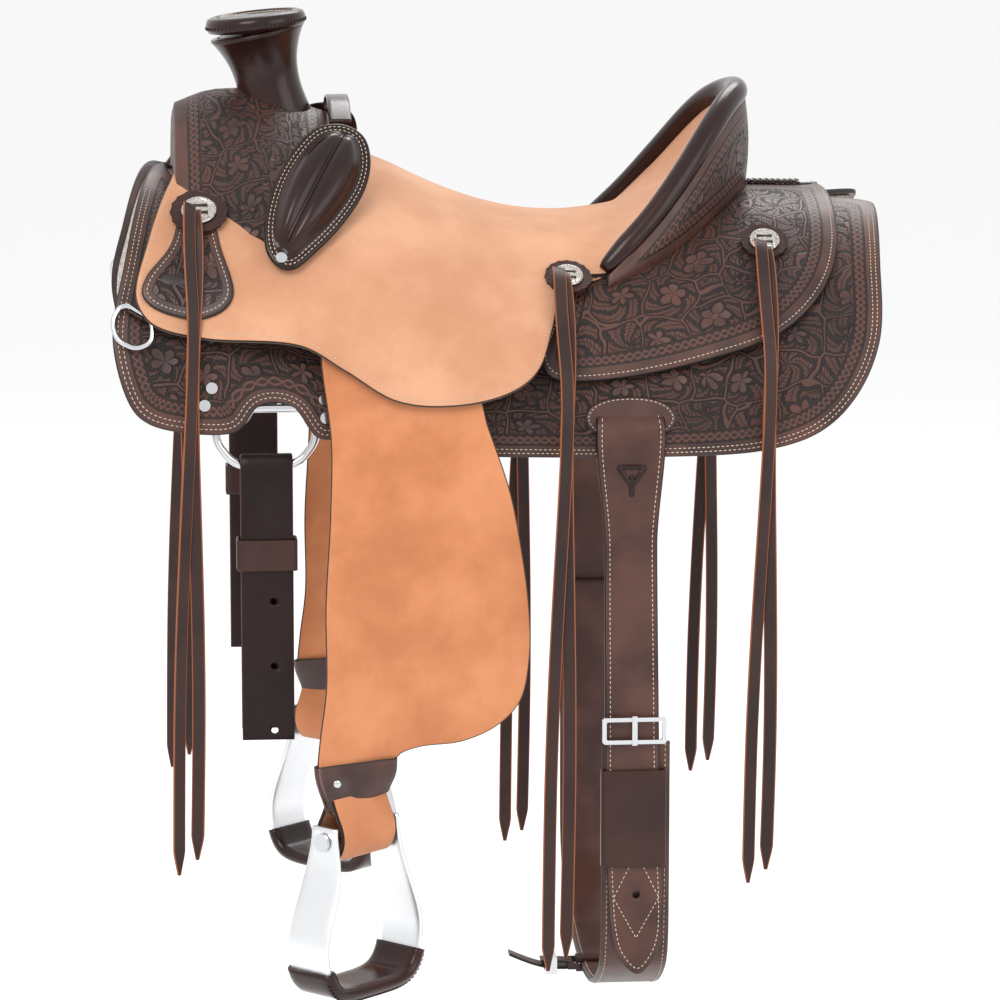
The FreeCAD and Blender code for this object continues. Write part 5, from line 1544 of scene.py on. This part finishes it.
@dataclass
class Rigging:
    """Dees, latigo, off billet, flank set, conchos and saddle strings."""

    latigo_width: float = 0.050
    hole_radius: float = 0.0035

    def metal(self) -> None:
        """Carried metal pieces."""
        for side in Side:
            carry("rigging_dee_" + side.tag, "steel")
            carry("breast_dee_" + side.tag, "steel")
            carry("buckle_tongue_" + side.tag, "steel")
            carry("bar_" + side.tag, "wood")
        for node in ("rigging_rivets", "flank_buckles", "connector_buckle"):
            carry(node, "steel")
        for node in ("fork", "horn_core", "cantle_board"):
            carry(node, "wood")
        carry("seat_strainer", "steel")
        carry("breast_tabs", "dark_loose")
        carry("connector_keeper", "dark_loose")

    def punched(self, piece: bpy.types.Object, spots: Sequence[tuple[float, float, float]]) -> None:
        """Cut round holes through a piece that hangs in a side plane."""
        cutter = bmesh.new()
        for x, y, z in spots:
            bmesh.ops.create_cone(cutter, cap_ends=True, segments=24, radius1=self.hole_radius,
                radius2=self.hole_radius, depth=0.03, matrix=Matrix.Translation((x, y, z))
                @ Matrix.Rotation(math.pi / 2, 4, "X"))
        tool = to_object("hole_cutter", cutter, piece.data.materials[0])
        cut = piece.modifiers.new("holes", "BOOLEAN")
        cut.operation, cut.object, cut.solver = "DIFFERENCE", tool, "EXACT"
        bpy.context.view_layer.update()
        mesh = bpy.data.meshes.new_from_object(piece.evaluated_get(bpy.context.evaluated_depsgraph_get()))
        piece.modifiers.clear()
        piece.data = mesh
        bpy.data.objects.remove(tool)

    def latigo(self) -> None:
        """Doubled straps from the rigging dees, punched, with their sliding keepers."""
        x = -0.240
        front, rear = -0.2212, -0.2048
        route = [(rear, -0.376), (rear, -0.300), (rear, -0.160), (rear + 0.0002, -0.124),
            (rear - 0.002, -0.1115), (-0.213, -0.1085), (front + 0.002, -0.1115), (front - 0.0002, -0.124),
            (front, -0.160), (front, -0.300), (front, -0.384)]
        line = spline([(x, y, z) for y, z in route], 0.005)
        strap = swept("latigo_strap_near", line, lambda share: strap_section(self.latigo_width, 0.0040),
            finish("latigo"), up=Vector((0, 1, 0)))
        self.punched(strap, [(-0.234, front, -0.249 - 0.063 * k) for k in range(3)])
        off = other_side(strap, "off_billet_strap")
        dress(strap, "latigo_near", "black_leather", "latigo_near")
        dress(off, "latigo_off", "black_leather", "off_billet")
        keeper = loop_band("latigo_keeper_loop_near", Vector((x, -0.213, -0.204)), 0.0275,
            0.0130, 0.030, 0.003, "dark_loose")
        twin = other_side(keeper, "latigo_keeper_loop_off")
        dress(keeper, "latigo_keeper_near", "billet_leather", "latigo_keeper_near")
        dress(twin, "latigo_keeper_off", "billet_leather", "latigo_keeper_off")

    def flank(self) -> None:
        """Billets, flank cinch, buckles' keeper and the connector strap."""
        def face(v: float) -> float:
            return 0.2270 - 0.034 * ease(-0.086, -0.058, v)

        near = [(-26, -58), (-26, -200), (-25, -340), (-24, -460), (-18, -582), (-10, -606),
            (8, -622), (24, -606), (32, -582), (29, -460), (27, -340), (25, -200), (25, -58)]
        rows = [((108 + x) * MM, z * MM) for x, z in near]
        strap = Sheet("flank_billet_near", rows, plane_place(face), 0.0045, base=0.0, grid=0.010)
        piece = strap.build(finish("billet"))
        self.punched(piece, [(0.114, -0.229, -0.542)])
        seam = stitches("flank_billet_stitching", strap.seam(0.0052, 0.0048) + self.lozenge(strap),
            finish("thread"))
        short = [((108 + x) * MM, z * MM) for x, z in ((-25, -52), (-25, -200), (-25, -328),
            (25, -328), (25, -200), (25, -52))]
        far = Sheet("flank_billet_off", short, plane_place(face, Side.OFF), 0.0045, base=0.0, grid=0.010)
        for made, nodes in ((piece, ("flank_billets",)), (far.build(finish("billet")), ()),
                (seam, ()), (stitches("flank_billet_off_stitching", far.seam(0.0052, 0.0048),
                finish("thread")), ())):
            dress(made, "flank_set", "billet_leather", *nodes)
        tie = []
        for start, end in (((-0.013, -0.122), (0.013, -0.122)), ((-0.013, -0.122), (0.001, -0.142)),
                ((0.013, -0.122), (-0.001, -0.142)), ((0.0, -0.130), (0.0, -0.150))):
            path = spline([(0.108 + start[0], -0.2310, start[1]), (0.108 + (start[0] + end[0]) / 2,
                -0.2335, (start[1] + end[1]) / 2), (0.108 + end[0], -0.2310, end[1])], 0.002)
            tie.append(swept("tie", path, lambda share: circle(0.0024, 10, 0.6), finish("gloss"),
                up=Vector((0, -1, 0))))
        dress(merge("billet_lace_tie", tie), "flank_set", "billet_leather")
        y = 0.2230
        route = [(-y, -0.392), (-y, -0.560), (-y + 0.006, -0.600), (-0.196, -0.626), (-0.120, -0.660),
            (-0.040, -0.672), (0.040, -0.672), (0.120, -0.660), (0.196, -0.626), (y - 0.006, -0.600),
            (y, -0.560), (y, -0.318)]
        line = spline([(0.114, a, b) for a, b in route], 0.006)
        belt = swept("flank_cinch_belt", line, lambda share: strap_section(0.066, 0.006),
            finish("billet_loose"), up=Vector((0, -1, 0)))
        dress(belt, "flank_set", "billet_leather", "flank_cinch")
        rows = []
        for edge in (-0.028, 0.028):
            path = even_steps([p + Vector((edge, 0, 0)) for p in line], 0.0052, closed=False)
            for a, b in zip(path, path[1:]):
                a, b = Vector(a), Vector(b)
                way = (b - a).cross(Vector((1, 0, 0))).normalized()
                for out in (way, -way):
                    rows.append((a + out * 0.0030, b + out * 0.0030, out))
        dress(stitches("flank_cinch_stitching", rows, finish("thread"), 0.0005), "flank_set",
            "billet_leather")
        keeper = loop_band("flank_keeper_loop", Vector((0.111, -0.2290, -0.466)), 0.0300,
            0.0056, 0.096, 0.003, "dark_loose")
        dress(keeper, "flank_set", "billet_leather", "flank_keeper")
        route = [(0.041, -0.6675), (0.065, -0.6683), (0.0742, -0.6700), (0.0742, -0.6740),
            (0.065, -0.6757), (0.037, -0.6732), (0.009, -0.660)]
        small = swept("connector_strap_leather", spline([(x, 0, z) for x, z in route], 0.002),
            lambda share: strap_section(0.020, 0.0024), finish("billet_loose"), up=Vector((0, 0, 1)))
        dress(small, "connector", "billet_leather", "connector_strap")

    def lozenge(self, strap: Sheet) -> list[tuple[Vector, Vector, Vector]]:
        """Diamond of stitches round the billet's hole, and the bar above it."""
        places = []
        shape = [(0.114, -0.500), (0.136, -0.545), (0.114, -0.585), (0.092, -0.545)]
        for a, b in zip(shape, shape[1:] + shape[:1]):
            spots = even_steps([Vector(a), Vector(b)], 0.0048, closed=False)
            for here, there in zip(spots, spots[1:]):
                start, end = strap.place(*here, 0.0046), strap.place(*there, 0.0046)
                places.append((start, end, Vector((0, -1, 0))))
        return places

    def holder(self) -> None:
        """Tooled latigo holder at the front of the jockey, with its slot drawn as a dark sheet of painted
        shade.
        """
        rows = z_outline([(-300, 126), (-314, 122), (-328, 86), (-352, 58), (-356, 44),
            (-346, 32), (-304, 21), (-278, 30), (-269, 44), (-280, 84), (-288, 112)])
        sheet = Sheet("latigo_holder_leather_near", [SEAT.flat(x, z) for x, z in rows],
            SEAT.place, 0.0035, base=0.0004, grid=0.006)
        # the slot is not cut: a thin near-black sheet over it is painted shade for the opening
        slot_rows = z_outline([(-334, 60), (-337, 56), (-334, 52), (-315, 50.5), (-297, 50.5),
            (-294, 54), (-297, 58), (-315, 60)])
        hole = Sheet("latigo_holder_slot_near", [SEAT.flat(x, z) for x, z in slot_rows],
            SEAT.place, 0.0004, base=0.0036, grid=0.01, rings=(0.0006,), relief=((0.0, -0.0002),
            (0.0006, 0.0)), step=0.002)
        made = [(sheet.build(finish("tooled_small")), ("latigo_holder",)), (hole.build(finish("black")), ()),
            (stitches("latigo_holder_stitching_near", sheet.seam(0.0050, 0.0044), finish("thread")), ())]
        for piece, nodes in made:
            dress_both(piece, "dark_leather", *nodes)

    def concho_seats(self) -> list[tuple[str, Vector, Vector, float, float]]:
        """Name, place, normal, rosette radius and concho radius of the near conchos."""
        seats = []
        for name, form, x, z, lift, rosette, disc in (("front", SEAT, -0.300, 0.112, 0.0046, 0.028, 0.017),
                ("mid", SEAT, 0.053, 0.050, 0.0010, 0.023, 0.0145), ("rear", JOCKEY, 0.246,
                0.076, 0.0050, 0.0235, 0.015)):
            u, v = form.flat(x, z)
            seats.append((name, form.place(u, v, lift), form.normal(u, v), rosette, disc))
        return seats

    def conchos(self) -> None:
        """Slotted engraved conchos on scalloped leather rosettes."""
        for name, at, normal, rosette, radius in self.concho_seats():
            turn = Vector((0, 0, 1)).rotation_difference(normal).to_matrix().to_4x4()
            base = Matrix.Translation(at) @ turn
            bm = bmesh.new()
            bmesh.ops.create_cone(bm, cap_ends=True, segments=96, radius1=rosette, radius2=rosette,
                depth=0.003)
            bmesh.ops.translate(bm, vec=(0, 0, 0.0015), verts=bm.verts)
            for vert in bm.verts:
                angle = math.atan2(vert.co.y, vert.co.x)
                vert.co.xy *= 1 - 0.045 * abs(math.sin(angle * 8))
            tops = [f for f in bm.faces if f.normal.z > 0.9]
            bmesh.ops.inset_region(bm, faces=tops, thickness=0.0012)
            bmesh.ops.inset_region(bm, faces=tops, thickness=0.0010, depth=-0.0006)
            bm.loops.layers.uv.new("flat")
            bmesh.ops.transform(bm, matrix=base, verts=bm.verts)
            leaf = to_object("rosette_%s_near" % name, bm, finish("dark_loose"), smooth_faces=False)
            metal = bmesh.new()
            rings = ((radius, 0.0032), (radius, 0.0044), (radius * 0.96, 0.0052), (radius * 0.84, 0.0055),
                (radius * 0.80, 0.0048), (radius * 0.5, 0.0054), (radius * 0.02, 0.0058))
            circles = []
            for r, h in rings:
                ring = bmesh.ops.create_circle(metal, segments=64, radius=r)["verts"]
                bmesh.ops.translate(metal, vec=(0, 0, h), verts=ring)
                circles.append(ring)
            for low, high in zip(circles, circles[1:]):
                for k in range(64):
                    metal.faces.new((low[k], low[(k + 1) % 64], high[(k + 1) % 64], high[k]))
            metal.faces.new(circles[-1])
            metal.faces.new(list(reversed(circles[0])))
            bmesh.ops.recalc_face_normals(metal, faces=metal.faces)
            bmesh.ops.transform(metal, matrix=base, verts=metal.verts)
            disc = to_object("concho_%s_near" % name, metal, finish("silver"))
            beads = bmesh.new()
            for k in range(36):
                angle = 2 * math.pi * k / 36
                spot = base @ Matrix.Translation((radius * 0.90 * math.cos(angle),
                    radius * 0.90 * math.sin(angle), 0.0055))
                bmesh.ops.create_icosphere(beads, subdivisions=1, radius=0.0008, matrix=spot)
            bead = to_object("concho_beads_%s_near" % name, beads, finish("steel"))
            # the slots are not cut: near-black bars on the face stand for the openings, painted shade over
            # the dark string leather that runs through them
            slots = bmesh.new()
            for way in (-1, 1):
                spot = base @ Matrix.Translation((0, way * radius * 0.27, 0.0056))
                bmesh.ops.create_cube(slots, size=1.0, matrix=spot @
                    Matrix.Diagonal((radius * 1.0, radius * 0.20, 0.0010, 1)))
            bmesh.ops.bevel(slots, geom=slots.edges[:], offset=0.0003, segments=1, affect="EDGES",
                profile=0.5, material=-1)
            slots.loops.layers.uv.new("flat")
            gap = to_object("concho_slots_%s_near" % name, slots, finish("black"))
            for piece, kind, first in ((leaf, "dark_leather", "concho_rosettes"),
                    (disc, "concho_silver", "conchos"), (bead, "concho_silver", None),
                    (gap, "concho_silver", None)):
                twin = other_side(piece, piece.name.replace("near", "off"))
                dress(piece, "tree", kind, *((first,) if first and name == "front" else ()))
                dress(twin, "tree", kind)

    def strings(self) -> None:
        """Saddle strings: two flat tails from every concho, hanging free."""
        for name, route in STRING_ROUTES.items():
            x = STRING_X[name.split("_")[0]] + (0.004 if name.endswith("b") else 0.0)
            drift, sway = (-0.006, 0.0035) if name.endswith("b") else (-0.017, -0.0030)
            for side in Side:
                wave = [(x + drift * max(0.0, k - 4) / 6 + sway * math.sin(k * 0.9) * min(1.0, k / 4),
                    -side.value * y * MM, z * MM) for k, (y, z) in enumerate(route)]
                line = spline(wave, 0.006)
                length = sum((b - a).length for a, b in zip(line, line[1:]))

                def section(share: float, total: float = length) -> list[Flat]:
                    left = (1 - share) * total
                    wide = 0.013 * (0.28 + 0.72 * min(1.0, left / 0.022))
                    return strap_section(wide, 0.0022)

                tail = swept("string_%s_%s" % (name, side.tag), line, section, finish("string"),
                    up=Vector((0, float(side.value), 0)))
                dress(tail, "tree", "string_leather", *(("strings_" + side.tag,) if name
                    == "front_a" else ()))

    def build(self) -> None:
        """Everything of the rigging."""
        self.metal()
        self.latigo()
        self.flank()
        self.holder()
        self.conchos()
        self.strings()


STRING_ROUTES = {"front_a": ((-147, 124), (-163, 124), (-184, 100), (-204, 66), (-220, 26),
    (-228, -24), (-231, -90), (-231.6, -180), (-230.6, -280), (-231.4, -390), (-231, -514)),
    "front_b": ((-154, 118), (-166, 115), (-182, 90), (-200, 58), (-217.3, 20), (-224.2, -26),
    (-227, -90), (-227.6, -180), (-226.6, -280), (-227.4, -390), (-227, -500)),
    "mid_a": ((-160, 60.5), (-177, 58.5), (-200, 32), (-224, 0), (-243, -40), (-255, -90),
    (-261, -150), (-262, -240), (-261.2, -350), (-262, -470), (-261.6, -608)),
    "mid_b": ((-166, 55), (-180, 50), (-200, 22), (-222, -10), (-240, -48), (-251, -94),
    (-257, -150), (-258, -240), (-257.2, -350), (-258, -470), (-257.6, -596)),
    "rear_a": ((-148, 84), (-162, 83), (-184, 60), (-209, 22), (-228, -20), (-237, -70),
    (-240, -130), (-240.6, -220), (-239.8, -320), (-240.5, -420), (-240, -530)),
    "rear_b": ((-155, 78), (-164, 75), (-183, 50), (-205, 13), (-223, -26), (-232.6, -74),
    (-236, -130), (-236.6, -220), (-235.8, -320), (-236.5, -420), (-236, -518)),}
STRING_X = {"front": -0.309, "mid": 0.044, "rear": 0.240}


# ---------------------------------------------------------------- studio
@dataclass
class Studio:
    """White floor, soft lights and the camera."""

    distance: float = 5.0
    azimuth: float = -4.5
    elevation: float = 10.0
    aim: Vector = field(default_factory=lambda: Vector((0.0, 0.0, -0.193)))

    def lamp(self, name: str, place: tuple, size: float, power: float, aim: Vector) -> bpy.types.Object:
        """Square soft light turned towards a point."""
        light = bpy.data.lights.new(name, "AREA")
        light.shape, light.size, light.energy = "SQUARE", size, power
        lamp = bpy.data.objects.new(name, light)
        lamp.location = place
        lamp.rotation_euler = (aim - Vector(place)).to_track_quat("-Z", "Y").to_euler()
        bpy.context.scene.collection.objects.link(lamp)
        return lamp

    def floor(self) -> bpy.types.Object:
        """Plain white floor well below the saddle."""
        bm = bmesh.new()
        bmesh.ops.create_grid(bm, x_segments=1, y_segments=1, size=260.0)
        bmesh.ops.translate(bm, vec=(0, 0, -0.95), verts=bm.verts)
        net = Net("studio floor")
        net.set(Base_Color=(0.93, 0.93, 0.93, 1), Roughness=1.0)
        return to_object("studio_floor", bm, net.material)

    def build(self) -> None:
        """Light the saddle and set the camera."""
        scene = bpy.context.scene
        world = bpy.data.worlds.new("studio")
        scene.world = world
        world.use_nodes = True
        world.node_tree.nodes["Background"].inputs[0].default_value = (1, 1, 1, 1)
        world.node_tree.nodes["Background"].inputs[1].default_value = 1.0
        lamps = [self.lamp("key", (-1.6, -2.6, 2.4), 1.8, 62.0, self.aim),
            self.lamp("fill", (2.4, -2.2, 1.2), 2.2, 26.0, self.aim), self.lamp("rim",
            (0.6, 2.4, 2.6), 1.6, 40.0, self.aim)]
        self.floor()
        camera = bpy.data.cameras.new("camera")
        camera.sensor_width, camera.lens = 36.0, 180.0
        holder = bpy.data.objects.new("camera", camera)
        a, e = math.radians(self.azimuth), math.radians(self.elevation)
        back = Vector((math.sin(a) * math.cos(e), -math.cos(a) * math.cos(e), math.sin(e)))
        holder.location = self.aim + back * self.distance
        holder.rotation_euler = back.to_track_quat("Z", "Y").to_euler()
        scene.collection.objects.link(holder)
        scene.camera = holder
        scene.view_settings.view_transform = "Standard"


def main() -> None:
    """Build the whole saddle and its studio."""
    Studio().build()
    SkirtSet().build()
    Seat().build()
    Swell().build()
    Fender().build()
    Rigging().build()


if __name__ == "__main__":
    main()
